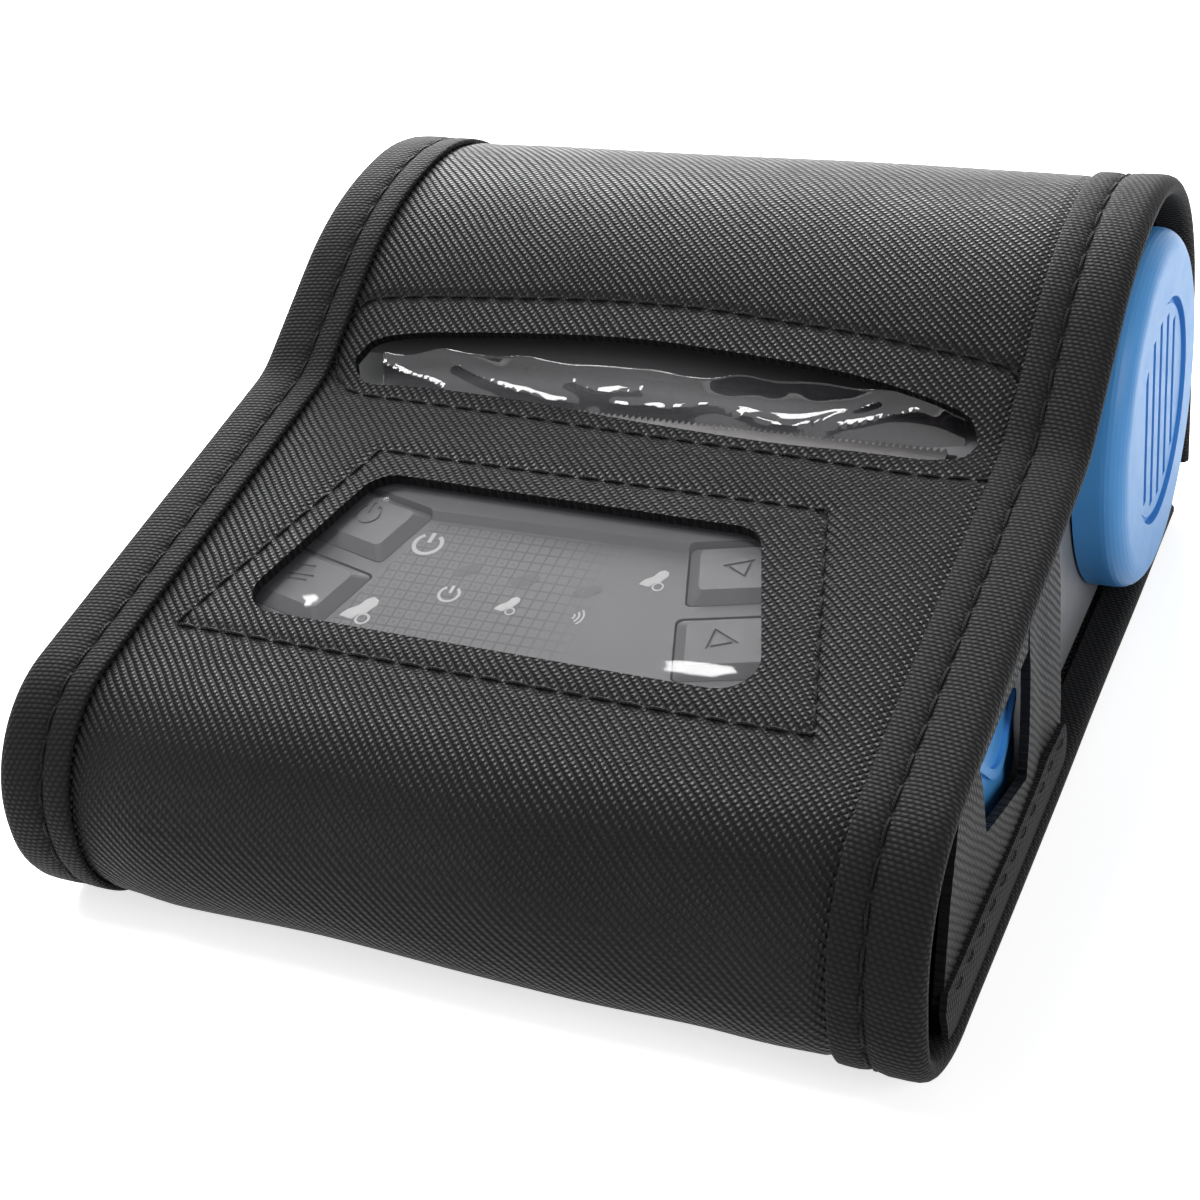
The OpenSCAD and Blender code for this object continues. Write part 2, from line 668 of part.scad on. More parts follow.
// Spur gear with trapezoid teeth, drawn about its own axis
module gear(c, teeth, bore, start) {
    pitch = gear_module * teeth / 2;
    tip = pitch + 0.9 * gear_module;
    root = pitch - 1.15 * gear_module;
    step = 360 / teeth;
    outline = [for (i = [0:teeth - 1]) each [
        for (q = [[root, -0.33], [pitch, -0.235], [tip, -0.12], [tip, 0.12], [pitch, 0.235], [root, 0.33]])
            c + q[0] * [cos(start + (i + q[1]) * step), sin(start + (i + q[1]) * step)]]];
    difference() {
        along_x(gear_x, gear_x + gear_t) polygon(outline);
        rod(c, bore, gear_x - 1, gear_x + gear_t + 1);
    }
}
// A tooth of the platen gear points at the idler, which has a space there
down_angle = atan2(mesh_down[1], mesh_down[0]);
across_angle = atan2(pinion_dir[1], pinion_dir[0]);
idler_start = down_angle + 180 + 180 / idler_teeth;
idler_phase = (across_angle - idler_start) * idler_teeth / 360;
pinion_start = across_angle + 180 + (0.5 + idler_phase) * 360 / pinion_teeth;
module platen_gear() {
    color("#e8e6df") gear(platen, platen_teeth, shaft_r, down_angle);
}
module idler_gear() {
    color("#e8e6df") gear(idler, idler_teeth, 1.55, idler_start);
}
module motor_pinion() {
    color("#c9a54a") gear(pinion, pinion_teeth, motor_shaft_r, pinion_start);
}
module idler_pin() {
    color(steel) {
        rod(idler, 1.5, -gear_edge - 0.9, -frame_x[0]);
        rod(idler, 2.6, -gear_edge - 1.2, -gear_edge - 0.4);
    }
}
module platen_roller() {
    color(rubber_black) difference() {
        rod(platen, platen_r, -platen_l / 2, platen_l / 2);
        rod(platen, shaft_r, -platen_l / 2 - 1, platen_l / 2 + 1);
    }
}
module platen_shaft() {
    color(steel) rod(platen, shaft_r, -50.9, 46.8);
}
bush_x = [41.9, 44.4];
module platen_bushes() {
    color("#d9cfae") both_sides() difference() {
        rod(platen, 3.6, bush_x[0], bush_x[1]);
        rod(platen, shaft_r + 0.05, bush_x[0] - 1, bush_x[1] + 1);
    }
}

// Paper cover: a drum with a low front lip, hinged behind the bin
lid_r = drum_r - skin;
lid_start = 128;
ramp = [12, 42];
function lid_outline(d) = concat(
    arc(drum, lid_r - d, lid_start, 0, 30),
    [hinge + (knuckle_r + 1.8 - d) * [cos(38), sin(38)]],
    arc(hinge, knuckle_r - d, 12, -35, 8));
module paper_cover() {
    color(dark_grey) {
        difference() {
            along_x(-half_p, half_p) polygon(concat(
                [lip_corner + [0, part_gap], [lip_y, lip_top], ramp], lid_outline(0),
                [hinge + [0.5, 0.2], hinge + lip_dir * 4 + part_gap * [0.3, 1]]));
            along_x(-half_p + wall, half_p - wall) polygon(concat(
                [[lip_y - 3, 20], [lip_y - 3, lip_under], ramp - [0.8, 1.8]], lid_outline(wall), [[60, 8], [40, 8]]));
            both_sides() translate([ear_x[0] - 0.4, 55, 8]) cube([ear_x[1] - ear_x[0] + 0.8, 20, 16]);
            both_sides() along_x(half_p - wall - 1, half_p + 1) polygon(arc(hinge, 3.4, 0, 345, 24));
        }
        both_sides() {
            cover_knuckle();
            platen_arm();
        }
    }
}
knuckle_x = [36, 44];
module cover_knuckle() {
    difference() {
        along_x(knuckle_x[0], knuckle_x[1]) polygon(concat(
            arc(hinge, 3.5, 90, 300, 16), arc(hinge, knuckle_r - wall + 0.2, -35, 60, 8)));
        rod(hinge, 1.55, knuckle_x[0] - 1, knuckle_x[1] + 1);
    }
}
module platen_arm() {
    difference() {
        along_x(bush_x[0], bush_x[1]) polygon(concat(
            [[13.4, 42], [lip_y, lip_under + 0.2]], arc(platen, 4.6, 150, 350, 16)));
        rod(platen, 3.6, bush_x[0] - 1, bush_x[1] + 1);
    }
}
module hinge_pin() {
    color(steel) rod(hinge, 1.5, -ear_x[1], ear_x[1]);
}
// Rubber grip cap: a crowned puck with a sunk disc and parallel finger grooves
cap_at = [41, 28.8];
cap_back = half_p + 0.35;
cap_round = 3.2;
disc_r = 15;
module grip_cap_right() {
    color(sky_blue) {
        difference() {
            translate([0, cap_at[0], cap_at[1]]) rotate([0, 90, 0]) rotate_extrude($fn = 96) polygon(concat(
                [[0, cap_back], [cap_r, cap_back]],
                arc([cap_r - cap_round, cap_reach - cap_round], cap_round, 0, 90, 8),
                [[disc_r + 1, cap_reach], [disc_r + 1, cap_reach - 1], [disc_r, cap_reach - 1],
                    [disc_r, cap_reach - 0.5], [0, cap_reach - 0.5]]));
            for (i = [-2:2]) translate([cap_reach - 1.1, cap_at[0] + i * 4.4, cap_at[1]])
                along_x(0, 2) groove(sqrt(pow(disc_r - 1.6, 2) - pow(i * 4.4, 2)));
        }
        rod(cap_at + [1, 8], 8, half_p, cap_back + 1);
    }
}
module groove(reach) {
    polygon([[-0.8, -reach], [0.8, -reach], [0.8, reach], [-0.8, reach]]);
}
module grip_cap_left() {
    left_of() grip_cap_right();
}

case_body();
case_flap();
case_binding_right();
case_binding_left();
flap_binding_right();
flap_binding_left();
gusset_right();
gusset_left();
gusset_binding_right();
gusset_binding_left();
window_film();
slot_film();
closure_loop();
closure_hook();
lower_shell();
upper_shell();
panel_overlay();
power_key();
feed_key();
up_key();
down_key();
main_board();
key_switches();
battery_pack();
battery_cover();
housing_screws();
port_cover();
usb_socket();
power_socket();
mech_frame();
tear_bar();
head_sink();
print_head();
head_springs();
step_motor();
motor_shaft();
motor_pinion();
idler_gear();
idler_pin();
platen_roller();
platen_shaft();
platen_gear();
platen_bushes();
paper_cover();
grip_cap_right();
grip_cap_left();
hinge_pin();
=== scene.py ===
"""Looks of a portable receipt printer in its sewn belt case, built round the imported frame.

Lengths are in millimetres until a mesh is made; X is across the paper, Y to the back, Z up.
A place on the case is (x, v): x across it, and v the running length of its outline, from the lip at the
back along the bottom, front, panel slope and drum to the end of the flap.
"""

import json
import math
import random

import bpy
from mathutils import Matrix, Vector, noise
from mathutils.geometry import delaunay_2d_cdt


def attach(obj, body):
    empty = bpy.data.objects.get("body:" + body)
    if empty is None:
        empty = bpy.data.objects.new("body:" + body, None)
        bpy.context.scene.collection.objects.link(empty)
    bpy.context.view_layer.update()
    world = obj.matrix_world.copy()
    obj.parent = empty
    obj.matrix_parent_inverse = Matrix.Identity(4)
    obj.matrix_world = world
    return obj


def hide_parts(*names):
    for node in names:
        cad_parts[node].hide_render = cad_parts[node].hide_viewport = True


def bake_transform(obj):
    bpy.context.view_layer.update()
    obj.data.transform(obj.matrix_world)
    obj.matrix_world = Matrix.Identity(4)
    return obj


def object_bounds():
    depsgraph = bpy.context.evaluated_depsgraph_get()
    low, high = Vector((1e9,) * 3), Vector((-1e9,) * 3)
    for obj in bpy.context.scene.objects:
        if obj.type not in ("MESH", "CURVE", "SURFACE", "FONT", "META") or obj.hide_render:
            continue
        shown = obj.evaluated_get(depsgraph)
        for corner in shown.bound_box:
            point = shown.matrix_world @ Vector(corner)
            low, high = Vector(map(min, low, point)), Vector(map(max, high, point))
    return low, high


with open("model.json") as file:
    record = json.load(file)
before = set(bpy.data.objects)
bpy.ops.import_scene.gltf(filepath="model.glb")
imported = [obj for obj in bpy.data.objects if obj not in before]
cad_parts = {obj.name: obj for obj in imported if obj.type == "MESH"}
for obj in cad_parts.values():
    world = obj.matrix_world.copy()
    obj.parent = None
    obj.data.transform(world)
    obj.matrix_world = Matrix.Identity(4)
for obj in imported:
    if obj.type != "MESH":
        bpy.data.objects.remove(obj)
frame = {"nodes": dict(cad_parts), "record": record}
cad_lo, cad_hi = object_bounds()
NODES = frame["nodes"]
MM = 0.001

# The case's outline, from the frame's size and the case's own angles and radii
FRONT_Y, BACK_Y, TOP_Z = (round(v / MM, 1) for v in (cad_lo[1], cad_hi[1], cad_hi[2]))
SLOPE = math.radians(9.8)
RISE = math.radians(31)
BROW_R = 17.5
TOE_R = 15.0
DRUM_R = 30.0
SHOULDER_R = 48.0
HEEL_R = 9.0
CREASE_R = 14.0
BROW = (FRONT_Y + BROW_R, 16.2)
TOE = (FRONT_Y + TOE_R, TOE_R)
DRUM = (BACK_Y - DRUM_R, TOP_Z - DRUM_R)
SHOULDER = (DRUM[0], TOP_Z - SHOULDER_R)
HEEL_GAP = 2.2
HEEL = (BACK_Y - HEEL_GAP - HEEL_R, HEEL_R)
LIP_Z = 12.0
FLAP_END_Z = 4.5
EDGE_END_Y = 60.0
SPLIT_Y = -9.0
CREASE_Y = 1.43

# Cloth, webbing and stitches
WEBBING_T = 0.7
LEATHER_T = 1.4
LINING = 2 * WEBBING_T + LEATHER_T
HALF_W = 60.0
LEATHER_HALF = 59.25
TONGUE_HALF = 46.0
STITCH_X = 53.0
STITCH_STEP = 4.6
TAGS = {1: "right", -1: "left"}

# The window's corners across X and up the slope from its middle
WINDOW_Y = -31.6
WINDOW = [(-38.3, -13.0), (33.6, -14.1), (23.9, 13.7), (-31.0, 15.3)]
WINDOW_R = 4.5

# The slot's edge across X and Y, from its left end round the front and back again, and its first rear point
SLOT_HALF = 46
SLOT_EDGE = [
    (-45.6, 4.6), (-42.6, 1.3), (-34, 1.5), (-25.2, 1.4), (-14.4, 0.9), (-0.1, -0.5), (18.9, -1.9),
    (30.2, -1.9), (40.6, -1.9), (44.9, -0.6), (46.0, 1.6), (44.8, 4.0), (42.0, 5.8), (27.1, 8.7),
    (5.2, 10.4), (-9.2, 10.6), (-28.6, 9.6), (-40.0, 8.5), (-44.3, 7.0)]
SLOT_BACK_FROM = 11

# The photo's view, from its vanishing points and the case's outline
VIEW_FROM = (112.15, -230.05, 177.6)
VIEW_FORWARD = (-0.3938, 0.7465, -0.5363)
VIEW_RIGHT = (0.9094, 0.4004, -0.1128)
VIEW_LENS = 64.95
SENSOR_WIDTH = 36


def add_camera():
    """The camera at the photo's place, with its direction and focal length."""
    data = bpy.data.cameras.new("camera")
    data.sensor_width = SENSOR_WIDTH
    data.lens = VIEW_LENS
    data.clip_start = 0.01
    cam = bpy.data.objects.new("camera", data)
    forward = Vector(VIEW_FORWARD).normalized()
    right = Vector(VIEW_RIGHT)
    right = (right - forward * right.dot(forward)).normalized()
    up = right.cross(forward)
    turn = Matrix((right, up, -forward)).transposed().to_4x4()
    cam.matrix_world = Matrix.Translation(Vector(VIEW_FROM) * MM) @ turn
    bpy.context.scene.collection.objects.link(cam)
    bpy.context.scene.camera = cam


# Materials

class Graph:
    """Short calls that add shader nodes to a new material, or to the world given as owner."""

    def __init__(self, name, owner=None):
        self.owner = owner or bpy.data.materials.new(name)
        self.owner.use_nodes = True
        self.tree = self.owner.node_tree
        self.shader = self.tree.nodes["Background" if owner else "Principled BSDF"]

    def node(self, kind, inputs=(), **settings):
        n = self.tree.nodes.new(kind)
        for key, value in settings.items():
            setattr(n, key, value)
        for key, value in dict(inputs).items():
            self.fill(n.inputs[key], value)
        return n

    def fill(self, socket, value):
        """Links a socket's value, or sets a constant on the socket itself."""
        if isinstance(value, bpy.types.NodeSocket):
            self.tree.links.new(value, socket)
        else:
            socket.default_value = value

    def set(self, name, value):
        self.fill(self.shader.inputs[name], value)

    def math(self, op, a, b=0.0, c=0.0, clamp=False):
        return self.node("ShaderNodeMath", {0: a, 1: b, 2: c}, operation=op, use_clamp=clamp).outputs[0]

    def wave(self, t):
        """0 to 1 and back once for each whole step of t."""
        turn = self.math("MULTIPLY", t, 2 * math.pi)
        return self.math("MULTIPLY_ADD", self.math("SINE", turn), 0.5, 0.5)

    def noise(self, vector, scale, detail=3.0, rough=0.5):
        inputs = {"Vector": vector, "Scale": scale, "Detail": detail, "Roughness": rough}
        return self.node("ShaderNodeTexNoise", inputs).outputs["Fac"]

    def blend(self, value, a, b, start=0.0, end=1.0):
        """From a to b while the value goes from start to end."""
        inputs = {"Value": value, "From Min": start, "From Max": end, "To Min": a, "To Max": b}
        return self.node("ShaderNodeMapRange", inputs).outputs["Result"]

    def colour(self, fac, a, b):
        """A colour between a and b by fac."""
        a, b = (c if isinstance(c, bpy.types.NodeSocket) else (*c, 1) for c in (a, b))
        return self.node("ShaderNodeMix", {0: fac, 6: a, 7: b}, data_type="RGBA").outputs[2]

    def bump(self, height, distance, strength=1.0, normal=None):
        inputs = {"Height": height, "Distance": distance * MM, "Strength": strength}
        if normal is not None:
            inputs["Normal"] = normal
        return self.node("ShaderNodeBump", inputs).outputs["Normal"]

    def place(self, source="Object"):
        """Texture coordinates in millimetres."""
        coord = self.node("ShaderNodeTexCoord").outputs[source]
        return self.node("ShaderNodeVectorMath", {0: coord, "Scale": 1 / MM}, operation="SCALE").outputs[0]

    def axes(self, vector):
        return self.node("ShaderNodeSeparateXYZ", {0: vector}).outputs

    def seen_ray(self):
        """1 for the camera's rays, also off gloss and through glass, and 0 for light on the object."""
        path = self.node("ShaderNodeLightPath").outputs
        ray = self.math("MAXIMUM", path["Is Camera Ray"], path["Is Glossy Ray"])
        return self.math("MAXIMUM", ray, path["Is Transmission Ray"])


def leathercloth():
    """Black coated cloth pressed with diagonal ribs, which a second set of grooves cuts across."""
    rib_pitch = 0.95 * math.sqrt(2)
    cut_pitch = rib_pitch * 0.72
    rib_height, wave_height = 0.36, 0.8
    g = Graph("leathercloth")
    at = g.place("UV")
    u, v, _ = g.axes(at)
    shift = g.math("MULTIPLY", g.noise(at, 0.09, 2.0), 0.9)
    p = g.math("ADD", g.math("DIVIDE", g.math("ADD", u, v), rib_pitch), shift)
    q = g.math("ADD", g.math("DIVIDE", g.math("SUBTRACT", u, v), cut_pitch), shift)
    rib = g.math("POWER", g.wave(p), 0.7)
    notch = g.math("POWER", g.wave(q), 0.45)
    depth = g.math("MULTIPLY_ADD", g.noise(at, 0.07, 2.0), 0.9, 0.2, clamp=True)
    cut = g.math("MULTIPLY_ADD", g.math("SUBTRACT", notch, 1.0), depth, 1.0)
    tiles = g.math("MULTIPLY", rib, cut)
    uneven = g.math("MULTIPLY_ADD", g.noise(at, 1.1, 2.0), 0.7, 0.65)
    height = g.math("MULTIPLY", tiles, uneven)
    pores = g.noise(at, 7.0, 2.0)
    soft = g.noise(at, 0.05, 3.0)
    # Base colour is darker down in the grain's grooves and lighter on the rib tops; the darkening in the
    # grooves is painted shade
    g.set("Base Color", g.colour(height, (0.002, 0.002, 0.0025), (0.012, 0.012, 0.0135)))
    g.set("Roughness", g.blend(g.math("MULTIPLY_ADD", soft, -0.3, height), 0.6, 0.27))
    g.set("Specular IOR Level", 0.14)
    ribs = g.bump(g.math("MULTIPLY_ADD", pores, 0.12, height), rib_height)
    g.set("Normal", g.bump(soft, wave_height, 0.25, ribs))
    return g.owner


def webbing():
    """Black woven tape: rows across it of short floats, each row a third of a step on from the last."""
    row_pitch, row_lean = 0.62, 0.12
    float_pitch, float_step = 0.95, 0.34
    g = Graph("webbing")
    at = g.place("UV")
    u, v, _ = g.axes(at)
    row = g.math("DIVIDE", g.math("ADD", v, g.math("MULTIPLY", u, row_lean)), row_pitch)
    rib = g.math("POWER", g.wave(row), 0.6)
    step = g.math("MULTIPLY", g.math("FLOOR", g.math("ADD", row, 0.25)), float_step)
    floats = g.math("POWER", g.wave(g.math("ADD", g.math("DIVIDE", u, float_pitch), step)), 0.7)
    weave = g.math("MULTIPLY", rib, g.math("MULTIPLY_ADD", floats, 0.75, 0.25))
    fuzz = g.noise(at, 2.6, 3.0)
    height = g.math("MULTIPLY", weave, g.math("MULTIPLY_ADD", fuzz, 0.6, 0.7))
    g.set("Base Color", g.colour(height, (0.002, 0.002, 0.0025), (0.0105, 0.0105, 0.012)))
    g.set("Roughness", g.blend(height, 0.8, 0.58))
    g.set("Specular IOR Level", 0.14)
    g.set("Sheen Weight", 0.02)
    g.set("Normal", g.bump(height, 0.16, 0.9))
    return g.owner


def thread():
    """Black twisted sewing thread."""
    twists_per_mm = 1.7
    g = Graph("thread")
    x, y, z = g.axes(g.place())
    twist = g.wave(g.math("MULTIPLY", g.math("ADD", g.math("ADD", x, y), z), twists_per_mm))
    g.set("Base Color", g.colour(twist, (0.001, 0.001, 0.0012), (0.004, 0.004, 0.0045)))
    g.set("Roughness", 0.6)
    g.set("Specular IOR Level", 0.15)
    g.set("Normal", g.bump(twist, 0.08))
    return g.owner


def tape():
    """Dark pile of the hook-and-loop tape."""
    g = Graph("cloth_back")
    pile = g.noise(g.place(), 3.5, 4.0, 0.7)
    g.set("Base Color", g.colour(pile, (0.006, 0.006, 0.006), (0.035, 0.035, 0.037)))
    g.set("Roughness", 0.92)
    g.set("Sheen Weight", 0.4)
    g.set("Normal", g.bump(pile, 0.4))
    return g.owner


def film(name, alpha):
    """Clear plastic: mostly see-through, with a bright gloss, slight waves and scuffs."""
    wave_height = 0.12
    g = Graph(name)
    at = g.place()
    wavy = g.noise(at, 0.16, 2.0)
    scuff = g.noise(at, 0.9, 4.0, 0.65)
    g.set("Base Color", (0.05, 0.044, 0.052, 1))
    g.set("Roughness", 0.05)
    g.set("IOR", 1.5)
    g.set("Specular IOR Level", 1.0)
    g.set("Coat Weight", 1.0)
    g.set("Coat Roughness", 0.03)
    g.set("Alpha", g.blend(g.math("MULTIPLY_ADD", scuff, 0.6, 0.2), alpha * 0.7, alpha * 1.3))
    g.set("Normal", g.bump(wavy, wave_height, 0.6))
    return g.owner


def moulded(name, low, high, rough, grain=0.05, spark=9.0):
    """Moulded plastic or rubber: fine spark-eroded texture, slight mottling and rubbed roughness."""
    g = Graph(name)
    at = g.place()
    g.set("Base Color", g.colour(g.noise(at, 0.12, 4.0), low, high))
    g.set("Roughness", g.blend(g.noise(at, 0.3, 3.0), rough - 0.07, rough + 0.09))
    g.set("Normal", g.bump(g.noise(at, spark, 2.0), grain, 0.6))
    return g.owner


def metal(name, low, high, rough):
    """Metal with fine marks along X."""
    mark_stretch = (0.4, 9.0, 9.0)
    g = Graph(name)
    scaled = g.node("ShaderNodeVectorMath", {0: g.place(), 1: mark_stretch}, operation="MULTIPLY")
    brushed = g.noise(scaled.outputs[0], 0.8, 4.0, 0.6)
    g.set("Base Color", g.colour(brushed, low, high))
    g.set("Metallic", 1.0)
    g.set("Roughness", g.blend(brushed, rough - 0.08, rough + 0.12))
    g.set("Normal", g.bump(brushed, 0.03, 0.5))
    return g.owner


def overlay_print():
    """Panel overlay: grey satin with small square tiles that fade to the right and have eyes at the left."""
    tile_x, tile_y = 1.56, 1.6
    gap_rim, eye_rim, eye_ink = 0.09, 0.37, 0.7
    g = Graph("overlay_print")
    at = g.place()
    x, y, _ = g.axes(at)
    across = g.math("PINGPONG", g.math("DIVIDE", x, tile_x), 0.5)
    along = g.math("PINGPONG", g.math("DIVIDE", y, tile_y), 0.5)
    rim = g.math("MINIMUM", across, along)
    gaps = g.math("MULTIPLY", g.math("LESS_THAN", rim, gap_rim), g.blend(x, 0.0, 1.0, 9.0, -2.0))
    eyes = g.math("MULTIPLY", g.math("GREATER_THAN", rim, eye_rim), g.blend(x, 0.0, 1.0, -3.0, -9.0))
    dark = g.math("MAXIMUM", gaps, g.math("MULTIPLY", eyes, eye_ink))
    patchy = g.math("MULTIPLY_ADD", g.noise(at, 0.35, 2.0), 0.8, 0.5, clamp=True)
    ink = g.math("MULTIPLY", dark, patchy)
    g.set("Base Color", g.colour(ink, (0.17, 0.171, 0.178), (0.07, 0.072, 0.08)))
    g.set("Roughness", g.blend(g.noise(at, 0.5, 3.0), 0.38, 0.5))
    g.set("Normal", g.bump(g.noise(at, 6.0, 2.0), 0.02, 0.5))
    return g.owner


def white_ink():
    """Slightly uneven white print."""
    g = Graph("white_ink")
    g.set("Base Color", g.colour(g.noise(g.place(), 3.0, 2.0), (0.72, 0.73, 0.74), (0.86, 0.86, 0.86)))
    g.set("Roughness", 0.5)
    return g.owner


# Dark and light colour, roughness and, where it differs, grain and spark of the moulded materials
MOULDED = {
    "grey_plastic": ((0.15, 0.152, 0.16), (0.185, 0.187, 0.195), 0.45),
    "dark_plastic": ((0.15, 0.152, 0.16), (0.19, 0.192, 0.2), 0.45),
    "blue_rubber": ((0.07, 0.33, 0.78), (0.09, 0.38, 0.84), 0.42, 0.03, 7.0),
    "black_rubber": ((0.012, 0.012, 0.013), (0.025, 0.025, 0.026), 0.6, 0.05, 5.0),
    "ceramic": ((0.62, 0.6, 0.54), (0.7, 0.68, 0.62), 0.22, 0.01),
    "board": ((0.012, 0.09, 0.04), (0.02, 0.14, 0.06), 0.3, 0.06, 1.5),
    "battery": ((0.02, 0.02, 0.024), (0.035, 0.035, 0.04), 0.3, 0.04, 0.6),
    "gear_plastic": ((0.62, 0.61, 0.57), (0.74, 0.73, 0.69), 0.45),
}
METALS = {
    "steel": ((0.055, 0.053, 0.055), (0.12, 0.116, 0.116), 0.4),
    "aluminium": ((0.6, 0.61, 0.62), (0.76, 0.77, 0.78), 0.36),
    "brass": ((0.6, 0.42, 0.16), (0.8, 0.6, 0.28), 0.3),
}
WINDOW_FILM_ALPHA = 0.2
SLOT_FILM_ALPHA = 0.36
MATERIALS = {
    "leathercloth": leathercloth(),
    "webbing": webbing(),
    "thread": thread(),
    "tape": tape(),
    "clear_film": film("window_film_clear", WINDOW_FILM_ALPHA),
    "slot_film": film("slot_film_clear", SLOT_FILM_ALPHA),
    "overlay": overlay_print(),
    "white_ink": white_ink(),
}
MATERIALS.update({name: moulded(name, *look) for name, look in MOULDED.items()})
MATERIALS.update({name: metal(name, *look) for name, look in METALS.items()})


def finish_cad_nodes():
    """Every CAD node takes its slot's material and smooth shading between its edges."""
    for row in frame["record"]["subparts"]:
        mesh = NODES[row["node"]].data
        mesh.materials.clear()
        mesh.materials.append(MATERIALS[row["material_slot"]])
        for poly in mesh.polygons:
            poly.use_smooth = True
        mesh.set_sharp_from_angle(angle=math.radians(32))


# Flat geometry

def arc(centre, r, a0, a1):
    """Points of an arc from a0 to a1 degrees."""
    step = 0.4
    n = max(2, int(abs(math.radians(a1 - a0)) * r / step))
    angles = [math.radians(a0 + (a1 - a0) * i / n) for i in range(n + 1)]
    return [(centre[0] + r * math.cos(a), centre[1] + r * math.sin(a)) for a in angles]


def rounded(points, r, n=6):
    """A closed outline with each corner rounded to radius r."""
    out = []
    count = len(points)
    for i, p in enumerate(points):
        p = Vector(p)
        u = (Vector(points[i - 1]) - p).normalized()
        v = (Vector(points[(i + 1) % count]) - p).normalized()
        half = u.angle(v) / 2
        centre = p + (u + v).normalized() * (r / math.sin(half))
        start = p + u * (r / math.tan(half)) - centre
        end = p + v * (r / math.tan(half)) - centre
        turn = start.angle_signed(end)
        for k in range(n + 1):
            a = -turn * k / n
            out.append((centre.x + start.x * math.cos(a) - start.y * math.sin(a),
                        centre.y + start.x * math.sin(a) + start.y * math.cos(a)))
    return out


def spaced(points, step, closed=False):
    """The same line with a point at least every step."""
    pts = list(points) + ([points[0]] if closed else [])
    out = []
    for a, b in zip(pts, pts[1:]):
        n = max(1, math.ceil(math.dist(a, b) / step))
        out += [tuple(a[k] + (b[k] - a[k]) * i / n for k in range(len(a))) for i in range(n)]
    return out if closed else out + [tuple(pts[-1])]


def curve_through(points, step=2.0):
    """A smooth line through the points."""
    pts = [points[0]] + list(points) + [points[-1]]
    out = []
    for a, b, c, d in zip(pts, pts[1:], pts[2:], pts[3:]):
        n = max(1, int(math.dist(b, c) / step))
        for i in range(n):
            t = i / n
            out.append(tuple(0.5 * (2 * b[k] + (c[k] - a[k]) * t
                                    + (2 * a[k] - 5 * b[k] + 4 * c[k] - d[k]) * t * t
                                    + (3 * b[k] - a[k] - 3 * c[k] + d[k]) * t ** 3) for k in (0, 1)))
    return out + [points[-1]]


def inside(p, poly):
    hit = False
    x, y = p
    for (x0, y0), (x1, y1) in zip(poly, poly[1:] + poly[:1]):
        if (y0 > y) != (y1 > y) and x < (x1 - x0) * (y - y0) / (y1 - y0) + x0:
            hit = not hit
    return hit


def distance_to(line, p):
    best = math.inf
    px, py = p
    for (x0, y0), (x1, y1) in zip(line, line[1:]):
        dx, dy = x1 - x0, y1 - y0
        t = max(0.0, min(1.0, ((px - x0) * dx + (py - y0) * dy) / ((dx * dx + dy * dy) or 1.0)))
        best = min(best, math.hypot(px - x0 - t * dx, py - y0 - t * dy))
    return best


def smooth(t):
    """0 to 1 with a soft start and end."""
    t = min(1.0, max(0.0, t))
    return t * t * (3 - 2 * t)


def bell(t):
    """1 at 0, falling off to both sides."""
    return math.exp(-t ** 2)


class Line:
    """A flat line by its running length."""

    def __init__(self, points, step):
        self.pts = spaced(points, step)
        self.run = [0.0]
        for a, b in zip(self.pts, self.pts[1:]):
            self.run.append(self.run[-1] + math.dist(a, b))
        self.length = self.run[-1]

    def at(self, v):
        v = min(self.length, max(0.0, v))
        lo, hi = 0, len(self.run) - 1
        while hi - lo > 1:
            mid = (lo + hi) // 2
            lo, hi = (mid, hi) if self.run[mid] <= v else (lo, mid)
        t = (v - self.run[lo]) / (self.run[hi] - self.run[lo] or 1.0)
        return tuple(self.pts[lo][k] + (self.pts[hi][k] - self.pts[lo][k]) * t for k in (0, 1))


class CaseLine(Line):
    """The case's outline across Y and Z, as the outside of the leathercloth."""

    def normal(self, v):
        reach = 0.8
        a, b = self.at(v - reach), self.at(v + reach)
        d = math.dist(a, b) or 1.0
        return (-(b[1] - a[1]) / d, (b[0] - a[0]) / d)

    def point(self, x, v, h):
        """The place h outside the case, at x across it."""
        h += swell(x, v)
        y, z = self.at(v)
        ny, nz = self.normal(v)
        return (x, y + ny * h, z + nz * h)

    def v_at_y(self, y, low_z):
        """Running length where the line passes y above height low_z."""
        for i, (a, b) in enumerate(zip(self.pts, self.pts[1:])):
            if a[1] > low_z and (a[0] - y) * (b[0] - y) <= 0 and a[0] != b[0]:
                return self.run[i] + (y - a[0]) / (b[0] - a[0]) * (self.run[i + 1] - self.run[i])
        return None

    def first_before(self, y):
        """First running length, to a quarter of a millimetre, where the line is in front of y."""
        v = 0.0
        while self.at(v)[0] >= y:
            v += 0.25
        return v


